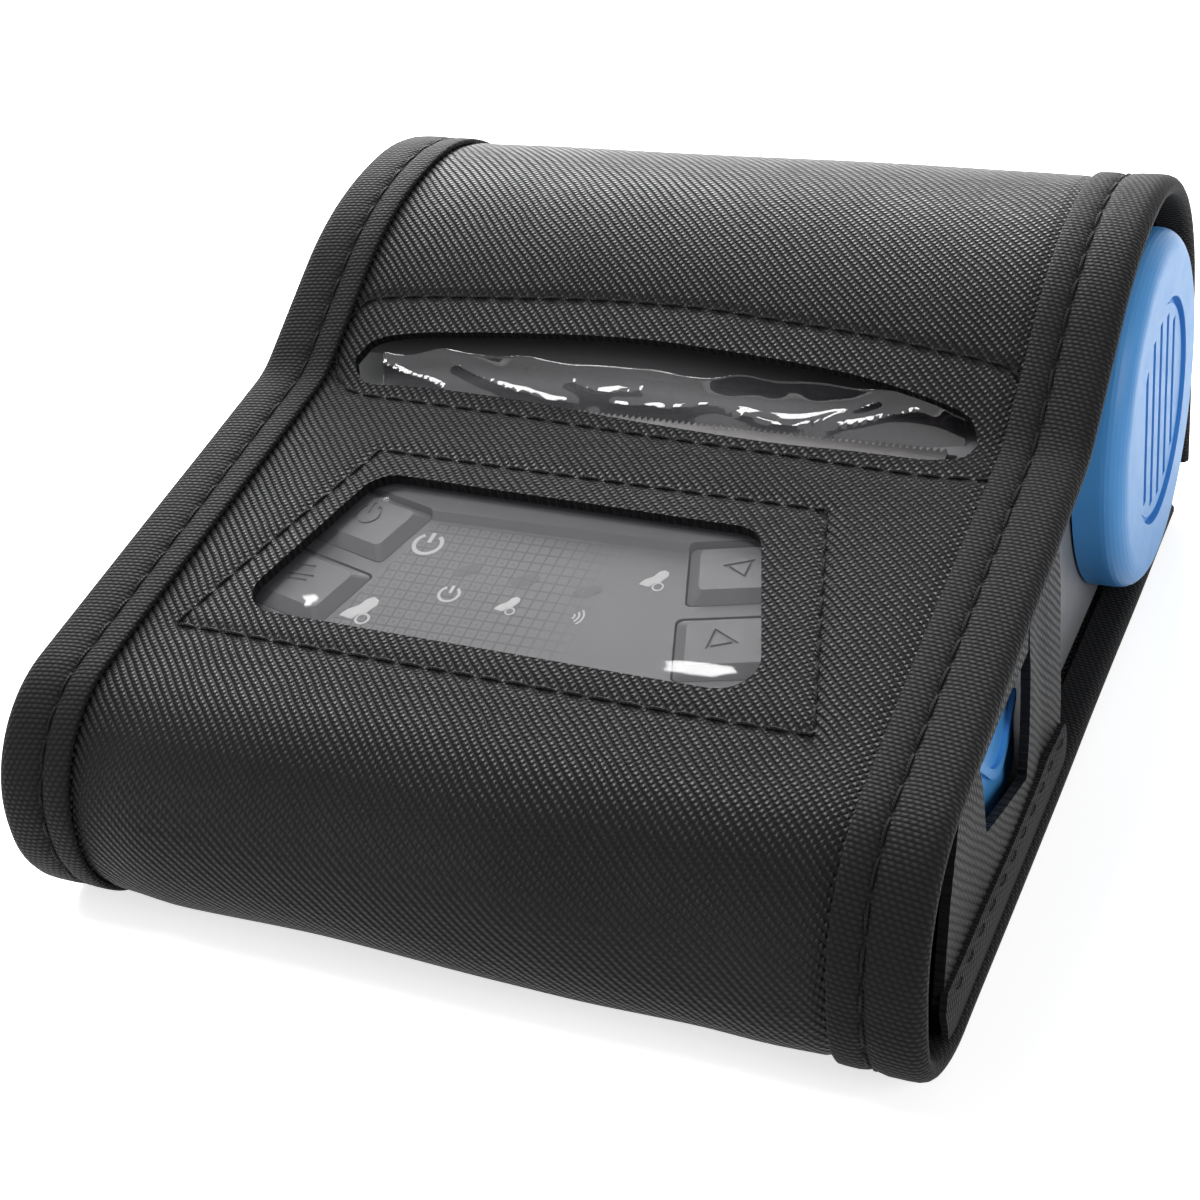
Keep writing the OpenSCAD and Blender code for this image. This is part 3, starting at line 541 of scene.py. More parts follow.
def case_outline():
    """Points of the lip, heel, bottom, toe, brow, slope, crease, rise, drum and back."""
    d = WEBBING_T
    brow_r, rise_r = BROW_R - d, SHOULDER_R - d
    slope_deg, rise_deg = math.degrees(SLOPE), math.degrees(RISE)
    brow_end = (BROW[0] - brow_r * math.sin(SLOPE), BROW[1] + brow_r * math.cos(SLOPE))
    rise_end = (SHOULDER[0] - rise_r * math.sin(RISE), SHOULDER[1] + rise_r * math.cos(RISE))
    drop = rise_end[1] - brow_end[1] + brow_end[0] * math.tan(SLOPE) - rise_end[0] * math.tan(RISE)
    y = drop / (math.tan(SLOPE) - math.tan(RISE))
    z = brow_end[1] + (y - brow_end[0]) * math.tan(SLOPE)
    reach = CREASE_R * math.tan((RISE - SLOPE) / 2)
    start = (y - reach * math.cos(SLOPE), z - reach * math.sin(SLOPE))
    bend = (start[0] - CREASE_R * math.sin(SLOPE), start[1] + CREASE_R * math.cos(SLOPE))
    return ([(HEEL[0] + HEEL_R - d, LIP_Z)]
            + arc(HEEL, HEEL_R - d, 0, -90)
            + arc(TOE, TOE_R - d, 270, 180)
            + arc(BROW, brow_r, 180, 90 + slope_deg)
            + arc(bend, CREASE_R, -90 + slope_deg, -90 + rise_deg)
            + arc(SHOULDER, rise_r, 90 + rise_deg, 90)
            + arc(DRUM, DRUM_R - d, 90, 0)
            + [(BACK_Y - d, FLAP_END_Z)])


CASE = CaseLine(case_outline(), 0.5)
V_SPLIT = CASE.v_at_y(SPLIT_Y, 30)
V_CREASE = CASE.v_at_y(CREASE_Y, 30)
V_EDGE = CASE.first_before(EDGE_END_Y)
V_TOE = CASE.first_before(TOE[0])
V_BROW = CASE.v_at_y(BROW[0], 25)
V_TOP = CASE.v_at_y(DRUM[0] + DRUM_R * math.sin(math.radians(36)), 40)


def swell(x, v):
    """How far the stuffed case stands out over the drum and, more to the right, at its front."""
    top, top_reach = 0.9, 20
    middle, lean, front_at, front_reach = 0.6, 0.8, 14, 7
    front = (middle + lean * x / HALF_W) * bell((v - V_TOE - front_at) / front_reach)
    return top * bell((v - V_TOP) / top_reach) + front


def slope_z(y, inset):
    """Height of the panel slope at y, by the inset under the case's outside."""
    z0 = BROW[1] + BROW_R * math.cos(SLOPE) + (y - BROW[0] + BROW_R * math.sin(SLOPE)) * math.tan(SLOPE)
    return z0 - inset / math.cos(SLOPE)


# Meshes

def make_object(name, verts, faces, material, uvs=None, smooth_angle=50):
    mesh = bpy.data.meshes.new(name)
    mesh.from_pydata([Vector(v) * MM for v in verts], [], faces)
    mesh.materials.append(MATERIALS[material])
    if uvs:
        layer = mesh.uv_layers.new(name="cloth")
        for loop in mesh.loops:
            u, v = uvs[loop.vertex_index]
            layer.data[loop.index].uv = (u * MM, v * MM)
    for poly in mesh.polygons:
        poly.use_smooth = True
    mesh.set_sharp_from_angle(angle=math.radians(smooth_angle))
    ob = bpy.data.objects.new(name, mesh)
    bpy.context.scene.collection.objects.link(ob)
    return ob


def flip_if_inward(ob, outward):
    """Turns the faces round if the first face doesn't look outward."""
    mesh = ob.data
    if mesh.polygons[0].normal.dot(Vector(outward)) < 0:
        mesh.flip_normals()


def on_sheet(p, outline, holes):
    return inside(p, outline) and not any(inside(p, h) for h in holes)


def grid_points(outline, step):
    """Staggered rows of points over the outline's box."""
    xs, ys = [p[0] for p in outline], [p[1] for p in outline]
    out = []
    row = min(ys) + step
    k = 0
    while row < max(ys):
        col = min(xs) + step * (0.5 if k % 2 else 1.0)
        while col < max(xs):
            out.append((col, row))
            col += step
        row += step * 0.87
        k += 1
    return out


def clear_of(fixed, points, gap):
    """The points that keep the gap from every fixed point."""
    near = {}
    for p in fixed:
        near.setdefault((int(p[0] // gap), int(p[1] // gap)), []).append(p)
    out = []
    for p in points:
        cx, cy = int(p[0] // gap), int(p[1] // gap)
        cells = [(cx + i, cy + j) for i in (-1, 0, 1) for j in (-1, 0, 1)]
        if not any(math.dist(p, q) < gap for cell in cells for q in near.get(cell, [])):
            out.append(p)
    return out


def cut_triangles(outline, holes, guides, step):
    """The flat sheet as points and triangles, with the guides' points kept among them."""
    rim, edges = [], []
    for line in [spaced(outline, step, True)] + [spaced(h, min(step, 1.6), True) for h in holes]:
        base = len(rim)
        rim += line
        edges += [(base + i, base + (i + 1) % len(line)) for i in range(len(line))]
    fixed = rim + [p for guide in guides for p in guide if on_sheet(p, outline, holes)]
    grid = [p for p in grid_points(outline, step) if on_sheet(p, outline, holes)]
    points = fixed + clear_of(fixed, grid, step * 0.5)
    flat, _, tris, _, _, _ = delaunay_2d_cdt([Vector(p) for p in points], edges, [], 0, 1e-5)
    good = []
    for tri in tris:
        centre = tuple(sum(flat[i][k] for i in tri) / 3 for k in (0, 1))
        if on_sheet(centre, outline, holes):
            good.append(tuple(tri))
    used = sorted({i for t in good for i in t})
    index = {old: new for new, old in enumerate(used)}
    return [tuple(flat[i]) for i in used], [tuple(index[i] for i in t) for t in good]


def sheet_mesh(outline, holes, guides, step, place, thickness):
    """A thick sheet cut to a flat outline with holes; place(p, h) takes a flat point to 3D at height h."""
    flat, tris = cut_triangles(outline, holes, guides, step)
    n = len(flat)
    verts = [place(p, 0.0) for p in flat] + [place(p, -thickness) for p in flat]
    edges = dict.fromkeys(edge for t in tris for edge in zip(t, t[1:] + t[:1]))
    walls = [(b, a, a + n, b + n) for (a, b) in edges if (b, a) not in edges]
    faces = tris + [tuple(i + n for i in reversed(t)) for t in tris] + walls
    return verts, faces, flat + flat


class Strands:
    """Many short round strands in one mesh."""

    sides = 6
    side_hint = Vector((0.13, 0.31, 0.94))

    def __init__(self):
        self.verts, self.faces = [], []

    def add(self, points, radii):
        base, n = len(self.verts), self.sides
        pts = [Vector(p) for p in points]
        for i, p in enumerate(pts):
            t = (pts[min(i + 1, len(pts) - 1)] - pts[max(i - 1, 0)]).normalized()
            side = t.cross(self.side_hint).normalized()
            other = t.cross(side)
            for k in range(n):
                a = 2 * math.pi * k / n
                self.verts.append(tuple(p + (side * math.cos(a) + other * math.sin(a)) * radii[i]))
        for i in range(len(pts) - 1):
            for k in range(n):
                a, b = base + i * n + k, base + i * n + (k + 1) % n
                self.faces.append((a, b, b + n, a + n))
        self.faces.append(tuple(base + k for k in reversed(range(n))))
        self.faces.append(tuple(base + (len(pts) - 1) * n + k for k in range(n)))


STITCH_HEIGHTS = (-0.3, 0.08, 0.2, 0.24, 0.2, 0.08, -0.3)
STITCH_SKEW = 0.12


def stitches(name, points, place, length, radius, seed, step=STITCH_STEP):
    """A piece of stitches along a flat line, each a strand that dips in at both ends."""
    rng = random.Random(seed)
    strands = Strands()
    line = Line(points, 0.4)
    count = max(1, int(line.length / step))
    last = len(STITCH_HEIGHTS) - 1
    for i in range(count):
        start = (i + 0.5) * line.length / count - length / 2
        skew = rng.uniform(-STITCH_SKEW, STITCH_SKEW)
        pts = []
        for k, h in enumerate(STITCH_HEIGHTS):
            x, y = line.at(start + length * k / last)
            pts.append(place((x + skew * (k - 3) / 3, y), h))
        strands.add(pts, [radius * 0.6] + [radius] * (last - 1) + [radius * 0.6])
    return make_object(name, strands.verts, strands.faces, "thread")


# Case leathercloth

def top_points(points):
    """Points across X and Y on the case's top as points across X and running length."""
    return [(x, CASE.v_at_y(y, 20)) for x, y in points]


def up_slope(points):
    """Points across X and up the slope from the window's middle, as points across X and running length."""
    return top_points([(x, WINDOW_Y + s * math.cos(SLOPE) + WEBBING_T * math.sin(SLOPE)) for x, s in points])


SLOT = top_points(curve_through(SLOT_EDGE + SLOT_EDGE[:1], 1.5)[:-1])
SLOT_BACK = top_points([(46.5, 3.0)] + SLOT_EDGE[SLOT_BACK_FROM:] + [(-46, 4.5)])
WINDOW_CUT = rounded(up_slope(WINDOW), WINDOW_R)
WINDOW_SEAM = up_slope([(-44.4, -17.3), (41.2, -18.5), (30.7, 18.8), (-33.4, 20.1)])
UPPER_SEAM = top_points([
    (-49.9, 6.0), (-49.6, 9.9), (-47.2, 13.2), (-40.7, 14.3), (-26, 15.2), (-10.9, 16.0), (3.5, 16.1),
    (13.1, 15.5), (27.4, 14.4), (36.5, 13.3), (43.5, 12.5), (47.5, 11.7), (50.5, 10.0)])
LOWER_SEAM = top_points([
    (-49.9, 6.0), (-47.3, 2.2), (-44.7, -0.1), (-41.3, -0.8), (-20, -1.4), (0, -2.6), (20, -3.6),
    (39.2, -4.6), (47.7, -4.2), (50.5, -3.5)])
SEAMS = [WINDOW_SEAM + WINDOW_SEAM[:1], curve_through(UPPER_SEAM), curve_through(LOWER_SEAM)]
BAND_LINES = [[(x, V_EDGE), (x, CASE.length)] for x in (-48.7, 48.7)]


def slot_back_v(x):
    """Running length of the slot's rear edge at x."""
    for (x0, v0), (x1, v1) in zip(SLOT_BACK, SLOT_BACK[1:]):
        if x1 <= x <= x0:
            return v0 + (v1 - v0) * (x - x0) / (x1 - x0)
    return V_CREASE + 2.5


def lip_lift(x, v):
    """How far the slot's rear edge is lifted, most in the middle."""
    lift, reach = 0.9, 5.0
    if abs(x) >= SLOT_HALF or v <= V_CREASE:
        return 0.0
    past = v - slot_back_v(x)
    if past <= -1:
        return 0.0
    return lift * bell(max(0.0, past) / reach) * max(0.0, 1 - (x / SLOT_HALF) ** 2) ** 0.7


def relief(x, v):
    """How far the leathercloth stands off its flat line: the slot's lifted edge, slack and sewn grooves."""
    groove_depth, groove_half, groove_reach = 0.38, 0.8, 2.2
    inner = 1 - smooth((abs(x) - 38) / 11)
    front = smooth((V_BROW - v) / 14) * smooth((v - V_TOE) / 10)
    soft = noise.noise(Vector((x / 34, v / 30, 3.7)))
    slack = noise.noise(Vector((x / 27 + v / 60, v / 19, 8.1)))
    h = lip_lift(x, v) + (0.4 * soft + front * (0.5 + 0.9 * slack)) * inner
    for seam in SEAMS + BAND_LINES:
        d = distance_to(seam, (x, v))
        if d < groove_reach:
            h -= groove_depth * bell(d / groove_half)
    return h


def on_case(p, h):
    x, v = p
    return CASE.point(x, v, h + relief(x, v))


def seam_guides(seam):
    """Rows of mesh points along a seam, so that its groove has shape."""
    rows = []
    pts = spaced(seam, 1.7)
    for a, b in zip(pts, pts[1:]):
        dx, dy = b[0] - a[0], b[1] - a[1]
        d = math.hypot(dx, dy) or 1.0
        rows += [(a[0] - dy / d * k, a[1] + dx / d * k) for k in (-1.3, 0.0, 1.3)]
    return rows


def case_sheets():
    """The wrap's leathercloth: the front part, with its tongue at the back, and the flap."""
    wide, tongue = LEATHER_HALF, TONGUE_HALF
    front = [(-tongue, 0.0), (tongue, 0.0), (tongue, V_EDGE), (wide, V_EDGE), (wide, V_SPLIT),
             (-wide, V_SPLIT), (-wide, V_EDGE), (-tongue, V_EDGE)]
    back = [(-wide, V_SPLIT), (wide, V_SPLIT), (wide, CASE.length), (-wide, CASE.length)]
    guides = [seam_guides(s) for s in SEAMS + BAND_LINES]
    made = []
    parts = (("case_front_leather", front, WINDOW_CUT), ("case_flap_leather", back, SLOT))
    for name, outline, hole in parts:
        verts, faces, flat = sheet_mesh(outline, [hole], guides, 2.6, on_case, LEATHER_T)
        made.append(make_object(name, verts, faces, "leathercloth", flat))
    return made


def seam_piece(name, seam, seed):
    return stitches(name, seam, on_case, 3.5, 0.23, seed, step=3.6)


# Webbing bound over the edges

# Section of the bound edge across X and height, from its inner edge over the top and back underneath
BAND = [
    (49.0, -0.05), (49.02, 0.4), (49.25, 0.58), (50.2, 0.64), (51.4, 0.64), (52.3, 0.54), (52.75, 0.34),
    (53.0, 0.16), (53.25, 0.34), (53.7, 0.56), (55.0, 0.7), (57.0, 0.7), (58.3, 0.62), (59.1, 0.35),
    (59.6, -0.1), (59.9, -0.6), (59.9, -1.3), (59.5, -1.9), (58.6, -2.15), (56.6, -2.12), (54.9, -2.1),
    (54.7, -1.7), (54.8, -1.42), (57.5, -1.41), (59.3, -1.3), (59.35, -0.7), (59.2, 0.0), (55.0, 0.0),
    (51.5, 0.0)]
BAND_STEP = 1.15


def band_ring(side, v, seed):
    """One section of the bound edge, with the pull of the stitches and a slight wander."""
    pull = 0.5 + 0.5 * math.cos(2 * math.pi * v / STITCH_STEP)
    wander = 0.35 * noise.noise(Vector((v / 23, seed, 0.5)))
    droop = 0.25 * noise.noise(Vector((v / 40, seed, 9.1)))
    out = []
    for x, h in BAND:
        groove = bell((x - STITCH_X) / 0.9)
        outer = smooth((x - 55) / 4)
        inner = smooth((51 - x) / 2)
        dx = wander * inner * 0.6 + (0.25 * wander - 0.1) * outer
        dh = -0.18 * groove * pull * (h > 0) + droop * outer
        out.append((side * (x + dx), h + dh))
    return out


def band_piece(name, side, v0, v1):
    n = int((v1 - v0) / BAND_STEP)
    m = len(BAND)
    around = [0.0]
    for a, b in zip(BAND, BAND[1:]):
        around.append(around[-1] + math.dist(a, b))
    verts, uvs, faces = [], [], []
    for i in range(n + 1):
        v = v0 + (v1 - v0) * i / n
        verts += [CASE.point(x, v, h) for x, h in band_ring(side, v, 2.0 * side)]
        uvs += [(u, v) for u in around]
    for i in range(n):
        for k in range(m):
            a, b = i * m + k, i * m + (k + 1) % m
            faces.append((a, b, b + m, a + m) if side > 0 else (b, a, a + m, b + m))
    first, last = tuple(range(m)), tuple(n * m + k for k in range(m))
    faces += [first[::-1], last] if side > 0 else [first, last[::-1]]
    return make_object(name, verts, faces, "webbing", uvs)


def band_stitches(name, side, v0, v1, seed):
    lift = 0.16
    line = [(side * STITCH_X, v0), (side * STITCH_X, v1)]
    return stitches(name, line, lambda p, h: CASE.point(p[0], p[1], lift + h), 4.1, 0.24, seed)


def bound_edge(side):
    """Webbing and stitches of one long edge: the front part's two pieces and the flap's two."""
    tag = TAGS[side]
    low = band_piece(f"edge_webbing_{tag}", side, V_EDGE, V_SPLIT)
    high = band_piece(f"flap_webbing_{tag}", side, V_SPLIT, CASE.length)
    low_seam = band_stitches(f"edge_stitches_{tag}", side, V_EDGE + 1, V_SPLIT, 5)
    high_seam = band_stitches(f"flap_stitches_{tag}", side, V_SPLIT, CASE.length - 1, 6)
    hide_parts(f"case_binding_{tag}")
    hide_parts(f"flap_binding_{tag}")
    for ob in (low, low_seam):
        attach(ob, "base")
    for ob in (high, high_seam):
        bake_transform(ob)
    return [low, low_seam], [high, high_seam]


def wrap():
    """The case's strip of cloth with its bound edges and seams, as front part and flap."""
    front_sheet, flap_sheet = case_sheets()
    right, left = bound_edge(1), bound_edge(-1)
    window_stitches = seam_piece("window_stitches", SEAMS[0], 11)
    slot_stitches = [seam_piece("slot_stitches_upper", SEAMS[1], 12),
                     seam_piece("slot_stitches_lower", SEAMS[2], 13)]
    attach(window_stitches, "base")
    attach(front_sheet, "base")
    for ob in (flap_sheet, *slot_stitches):
        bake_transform(ob)
    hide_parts("case_body")
    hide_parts("case_flap")


# Side panels, with outlines across Y and Z

GUSSET_X = 57.2
GUSSET_T = 1.2
GUSSET_BACK = -8.0
GUSSET = [(GUSSET_BACK, slope_z(GUSSET_BACK, LINING)), (-51, slope_z(-51, LINING)), (-57.5, 20), (-62, 9.0),
          (-60, LINING), (GUSSET_BACK, LINING)]
HEM_T = 0.8
HEM_LIFT = 0.75
HEM = [(-58, LINING), (-62.3, 4.6), (-63.2, 8.6), (-61.5, 10.8), (-55, 10.4), (GUSSET_BACK, 9.6),
       (GUSSET_BACK, LINING)]
HEM_SEAM = [(-60.0, 9.0), (GUSSET_BACK - 1, 8.2)]
PORT_WINDOW = [(-22.0, 34.5), (-23.2, 30.5), (-25.4, 13.3), (-43, 18.6), (-44.8, 29.0), (-23.9, 31.0),
               (-22.6, 34.5)]


def gusset_bulge(y, z):
    """The side panel is pulled in at its sewn edges and stands out a little between them."""
    t = smooth((z - LINING) / 8) * smooth((slope_z(y, LINING) - z) / 8)
    ripple = 0.3 * noise.noise(Vector((y / 16, z / 11, 1.3)))
    fold = -0.8 * bell((y + 15 + 0.1 * z) / 3.2)
    return t * (0.35 + ripple + 0.5 * fold)


def gusset(side):
    """One side panel with the webbing on its lower edge; the right one has the port's cut-out and slit."""
    tag = TAGS[side]
    outer_x = GUSSET_X + GUSSET_T

    def panel_place(p, h):
        y, z = p
        return (side * (outer_x + h + gusset_bulge(y, z)), y, z)

    def hem_place(p, h):
        y, z = p
        crown = 0.35 * math.sin(math.pi * min(1.0, max(0.0, (z - LINING) / 7.4)))
        return (side * (outer_x + HEM_LIFT + h + crown + gusset_bulge(y, z) * 0.4), y, z)

    holes = [PORT_WINDOW] if side > 0 else []
    verts, faces, flat = sheet_mesh(rounded(GUSSET, 1.0, 3), holes, [], 2.4, panel_place, GUSSET_T)
    panel = make_object(f"gusset_leather_{tag}", verts, faces, "leathercloth", flat)
    verts, faces, flat = sheet_mesh(rounded(HEM, 0.9, 4), [], [], 1.8, hem_place, HEM_T)
    along = [(z, y) for y, z in flat]
    band = make_object(f"gusset_webbing_{tag}", verts, faces, "webbing", along)
    for ob in (panel, band):
        flip_if_inward(ob, (side, 0, 0))
    seam = stitches(f"gusset_stitches_{tag}", HEM_SEAM, lambda p, h: hem_place(p, h - 0.05), 3.2, 0.1, 31)
    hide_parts(f"gusset_{tag}")
    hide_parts(f"gusset_binding_{tag}")
    for ob in (panel, band, seam):
        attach(ob, "base")


# Films

WINDOW_FILM_T = 0.2
FILM_GAP = 0.02
CORNER_V = up_slope([(27, -14.0)])[0][1]
CURL_X = 25.5
GLINT_X = -29
FILM_CUT = up_slope([(-43.2, -17.0), (39.5, -18.8), (28.8, 17.2), (-35.2, 19.2)])


def window_film_place(p, h):
    """Film under the leathercloth, bowed inside the window, with a curl and a dent that catch light."""
    x, v = p
    rim = min(1.0, distance_to(WINDOW_CUT + WINDOW_CUT[:1], p) / 6) if inside(p, WINDOW_CUT) else 0.0
    ripple = noise.noise(Vector((x / 17, v / 11, 5.2)))
    across, along = (x - GLINT_X) / 2.2, (v - CORNER_V - 3.2) / 1.6
    glint = 0.5 * math.exp(-across ** 2 - along ** 2)
    across, along = (x - CURL_X) / 8, (v - CORNER_V - 0.05 * (x - CURL_X)) / 2.6
    curl = 1.3 * math.exp(-across ** 4 - along ** 2)
    bow = smooth(rim) * (0.04 + 0.05 * ripple)
    return CASE.point(x, v, -LEATHER_T - FILM_GAP + h + bow + (curl + glint) * min(1.0, rim * 3))


def window_film():
    """Clear film behind the window, welded at its rim and slightly bowed between."""
    verts, faces, flat = sheet_mesh(rounded(FILM_CUT, 3), [], [], 2.0, window_film_place, WINDOW_FILM_T)
    ob = make_object("window_film_sheet", verts, faces, "clear_film", flat)
    flip_if_inward(ob, (0, -0.23, 0.97))
    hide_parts("window_film")
    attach(ob, "base")


# The slot film's rest place, size and mesh rows, and its folds across X and up the film
SLOT_FILM_X0, SLOT_FILM_X1 = -42.5, 43.0
SLOT_FILM_Y, SLOT_FILM_Z = 3.6, 38.3
SLOT_FILM_LENGTH = 11.0
SLOT_FILM_T = 0.06
SLOT_FILM_COLUMNS, SLOT_FILM_ROWS = 230, 26
CREASES = [
    [(-6, 5.0), (2, 5.6), (8, 6.2), (12, 4.8), (21, 4.4), (26, 6.2), (31, 8.8)],
    [(25, 4.3), (31, 6.2), (37, 8.6)],
    [(-42, 8.8), (-37, 6.6), (-32, 4.4)],
    [(-30, 8.4), (-22, 5.4), (-13, 4.6)],
    [(-12, 8.0), (-8, 6.8), (-2, 7.6)]]


def slot_film_point(x, s, creases):
    """A place on the crumpled film, s up it."""
    wide = noise.noise(Vector((x / 13, s / 12, 2.1)))
    small = noise.noise(Vector((x / 4.5, s / 6, 7.7)))
    fold = sum(math.exp(-distance_to(line, (x, s)) / 0.9) for line in creases)
    tall = 0.8 + 0.1 * noise.noise(Vector((x / 8, 0.2, 4.0))) - 0.16 * smooth((abs(x) - 32) / 10)
    back = smooth(s / 7) * (1.7 + 1.9 * wide + 0.35 * small) + 0.22 * s - 0.75 * fold
    return (x, SLOT_FILM_Y + max(-0.9, min(back, 5.6)), SLOT_FILM_Z + (s - 1.5) * tall + 0.45 * fold)


def slot_film():
    """Crumpled clear film that stands in the paper exit, with long folds across it."""
    nx, ns = SLOT_FILM_COLUMNS, SLOT_FILM_ROWS
    creases = [curve_through(line, 0.8) for line in CREASES]
    xs = [SLOT_FILM_X0 + (SLOT_FILM_X1 - SLOT_FILM_X0) * i / nx for i in range(nx + 1)]
    verts = [slot_film_point(x, SLOT_FILM_LENGTH * j / ns, creases) for j in range(ns + 1) for x in xs]
    starts = [j * (nx + 1) + i for j in range(ns) for i in range(nx)]
    faces = [(a, a + 1, a + nx + 2, a + nx + 1) for a in starts]
    ob = make_object("slot_film_sheet", verts, faces, "slot_film", smooth_angle=40)
    thick = ob.modifiers.new("thickness", "SOLIDIFY")
    thick.thickness = SLOT_FILM_T * MM
    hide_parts("slot_film")
    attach(ob, "base")


# Panel marks, each placed by x, by s up the slope from the window's middle, and by its radius

PANEL_INSET = 3.9
INK_T = 0.03
STANDBY_MARKS = [(-20.1, 6.2, 1.9), (-13.0, -2.2, 1.35)]
PAPER_MARKS = [(-23.6, -7.4, 2.1), (-4.6, -2.8, 1.4), (12.2, 5.2, 1.6)]
WAVE_MARKS = [(4.2, -2.9, 1.3)]
LAMP_SPOTS = [(-12.7, 2.4), (-4.2, 2.1), (4.6, 1.7)]
SPOT_R = 1.55
HATCH_STEP, HATCH_WIDTH = 0.45, 0.2


def panel_point(x, s, h):
    """A place on the panel slope, h above the housing's face."""
    inset = PANEL_INSET - h
    y = WINDOW_Y + s * math.cos(SLOPE)
    return (x, y + inset * math.sin(SLOPE), slope_z(y, 0) - inset * math.cos(SLOPE))


class Marks:
    """Thin raised ink on the panel, from flat strokes and shapes."""

    def __init__(self):
        self.verts, self.faces = [], []

    def shape(self, points):
        base, n = len(self.verts), len(points)
        self.verts += [panel_point(x, s, h) for h in (INK_T, 0.0) for x, s in points]
        self.faces.append(tuple(base + i for i in range(n)))
        sides = [(base + i, base + (i + 1) % n) for i in range(n)]
        self.faces += [(a, a + n, b + n, b) for a, b in sides]

    def stroke(self, points, width):
        for a, b in zip(points, points[1:]):
            dx, dy = b[0] - a[0], b[1] - a[1]
            d = math.hypot(dx, dy) or 1.0
            ox, oy = -dy / d * width / 2, dx / d * width / 2
            self.shape([(a[0] + ox, a[1] + oy), (a[0] - ox, a[1] - oy),
                        (b[0] - ox, b[1] - oy), (b[0] + ox, b[1] + oy)])

    def piece(self, name, material):
        ob = make_object(name, self.verts, self.faces, material, smooth_angle=20)
        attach(ob, "base")


def standby(marks, x, s, r):
    """A ring open at the top, with a stroke in the gap."""
    angles = [math.radians(35 + 290 * i / 22) for i in range(23)]
    marks.stroke([(x + r * math.sin(a), s + r * math.cos(a)) for a in angles], r * 0.3)
    marks.stroke([(x, s + r * 1.15), (x, s + r * 0.15)], r * 0.3)


def paper_roll(marks, x, s, r):
    """A curled end of paper over a small roll."""
    leaf = [(-1.0, -0.6), (-0.7, 0.0), (-0.15, 0.45), (0.1, 1.05), (0.5, 1.3), (0.9, 1.1), (1.0, 0.7),
            (0.75, 0.2), (0.6, -0.2), (0.15, -0.3), (-0.05, -0.75)]
    marks.shape([(x + r * a, s + r * b) for a, b in reversed(curve_through(leaf + leaf[:1], 0.3)[:-1])])
    angles = [2 * math.pi * i / 18 for i in range(19)]
    ring = [(x + r * (0.6 + 0.42 * math.cos(a)), s + r * (-0.62 + 0.42 * math.sin(a))) for a in angles]
    marks.stroke(ring, r * 0.16)


def waves(marks, x, s, r):
    """Plain radio waves: three arcs."""
    angles = [math.radians(-45 + 90 * i / 10) for i in range(11)]
    for k in (0.45, 0.9, 1.35):
        marks.stroke([(x + r * k * math.cos(a), s + r * k * math.sin(a)) for a in angles], r * 0.2)


def hatched_spot(marks, x, s):
    """A round spot of slanted lines."""
    for k in range(-3, 4):
        reach = math.sqrt(max(0.0, SPOT_R ** 2 - (k * HATCH_STEP) ** 2))
        middle = x + k * HATCH_STEP
        marks.stroke([(middle - reach * 0.5, s - reach * 0.86), (middle + reach * 0.5, s + reach * 0.86)],
                     HATCH_WIDTH)


def panel_marks():
    """White icons and grey lamp spots printed on the overlay."""
    ink = Marks()
    for draw, marks in ((standby, STANDBY_MARKS), (paper_roll, PAPER_MARKS), (waves, WAVE_MARKS)):
        for x, s, r in marks:
            draw(ink, x, s, r)
    ink.piece("panel_icons", "white_ink")
    spots = Marks()
    for x, s in LAMP_SPOTS:
        hatched_spot(spots, x, s)
    spots.piece("lamp_spots", "grey_plastic")


# Floor, surround and lamps, in metres

FLOOR_HALF = 4
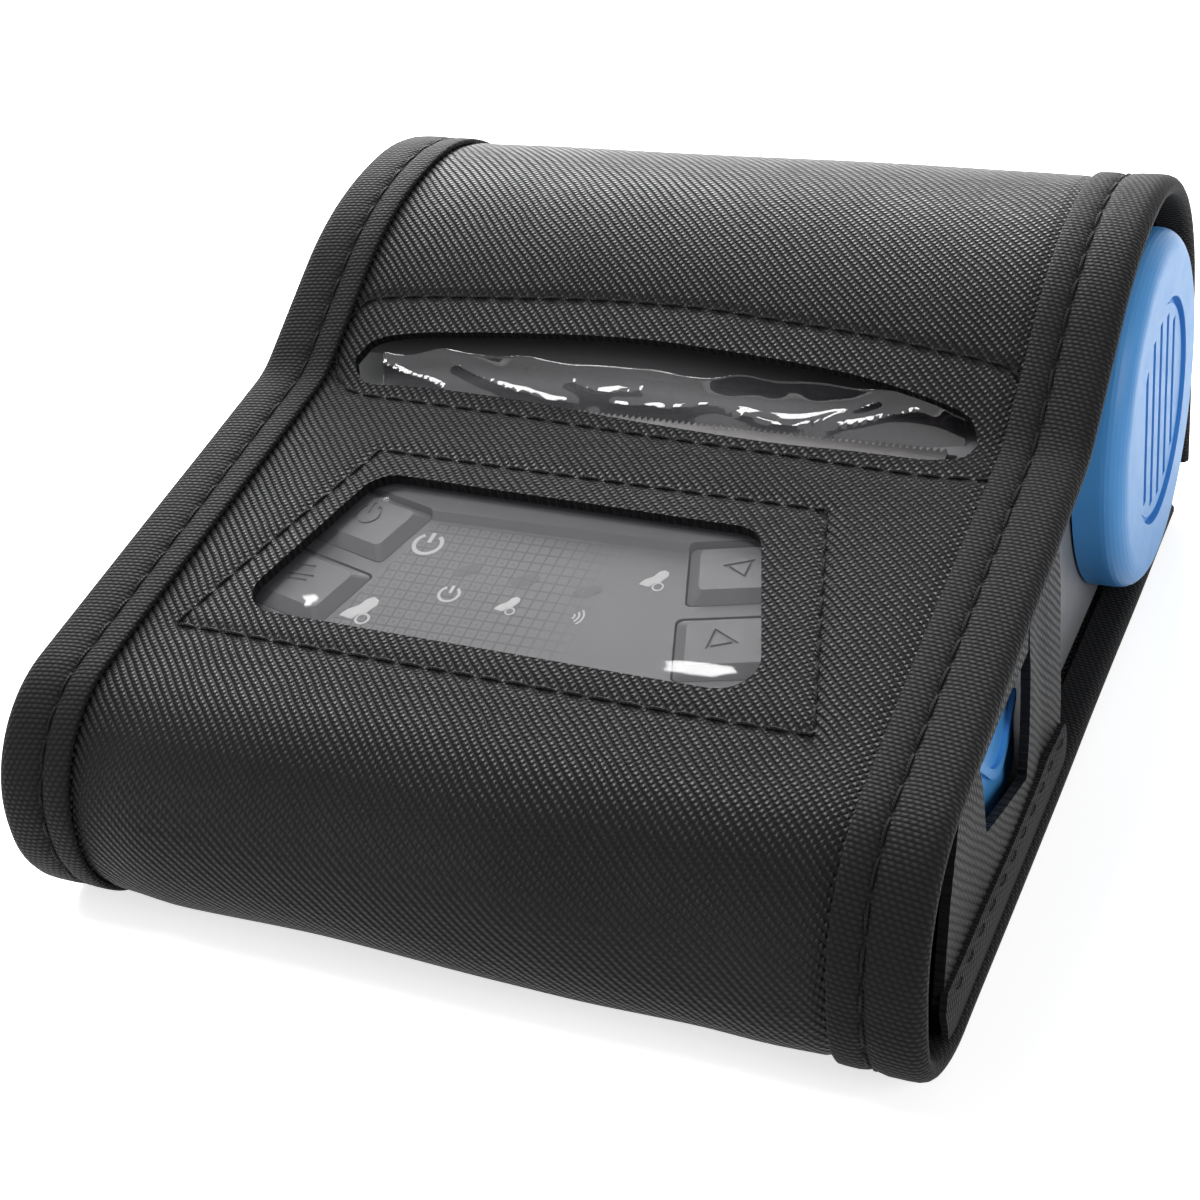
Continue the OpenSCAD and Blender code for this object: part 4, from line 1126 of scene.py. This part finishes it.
# The floor's colour for light on the object, and its two colours as they are seen
FLOOR_LIT = (0.3, 0.3, 0.3)
FLOOR_SEEN = ((0.9, 0.9, 0.9), (0.93, 0.93, 0.93))
FLOOR_GLOW = 0.7
SURROUND_LIGHT, SURROUND_SEEN = 0.15, 1.0
LAMP_TARGET = (0.0, 0.0, 0.03)
# Place, side and power of each lamp
LAMPS = {
    "top": ((-0.36, -0.10, 0.84), 0.36, 6.0),
    "back": ((-0.38, 0.80, 0.46), 0.65, 20.0),
    "right": ((0.75, -0.35, 0.5), 0.4, 3.0),
}


def add_floor():
    """Pale floor that looks white and keeps the shadow."""
    g = Graph("floor")
    ray = g.seen_ray()
    seen = g.colour(g.noise(g.place(), 0.01, 2.0), *FLOOR_SEEN)
    g.set("Base Color", g.colour(ray, FLOOR_LIT, seen))
    g.set("Roughness", 0.9)
    g.set("Emission Color", (1, 1, 1, 1))
    g.set("Emission Strength", g.math("MULTIPLY", ray, FLOOR_GLOW))
    mesh = bpy.data.meshes.new("floor")
    corners = [(x * FLOOR_HALF, y * FLOOR_HALF, 0) for x, y in ((-1, -1), (1, -1), (1, 1), (-1, 1))]
    mesh.from_pydata(corners, [], [(0, 1, 2, 3)])
    mesh.materials.append(g.owner)
    floor = bpy.data.objects.new("floor", mesh)
    bpy.context.scene.collection.objects.link(floor)


def add_surround():
    """Even surround, white where it is seen and dim as a light."""
    world = bpy.data.worlds.new("world")
    bpy.context.scene.world = world
    g = Graph("world", world)
    g.set("Strength", g.blend(g.seen_ray(), SURROUND_LIGHT, SURROUND_SEEN))
    g.set("Color", (1, 1, 1, 1))


def add_lamp(name, place, size, power):
    data = bpy.data.lights.new(name, "AREA")
    data.shape = "SQUARE"
    data.size = size
    data.energy = power
    ob = bpy.data.objects.new(name, data)
    ob.location = place
    ob.rotation_euler = (Vector(LAMP_TARGET) - Vector(place)).to_track_quat("-Z", "Y").to_euler()
    bpy.context.scene.collection.objects.link(ob)


# Building it

add_camera()
finish_cad_nodes()
wrap()
gusset(1)
gusset(-1)
window_film()
slot_film()
panel_marks()
add_floor()
add_surround()
for lamp_name, lamp in LAMPS.items():
    add_lamp(lamp_name, *lamp)

scene = bpy.context.scene
scene.view_settings.view_transform = "Standard"
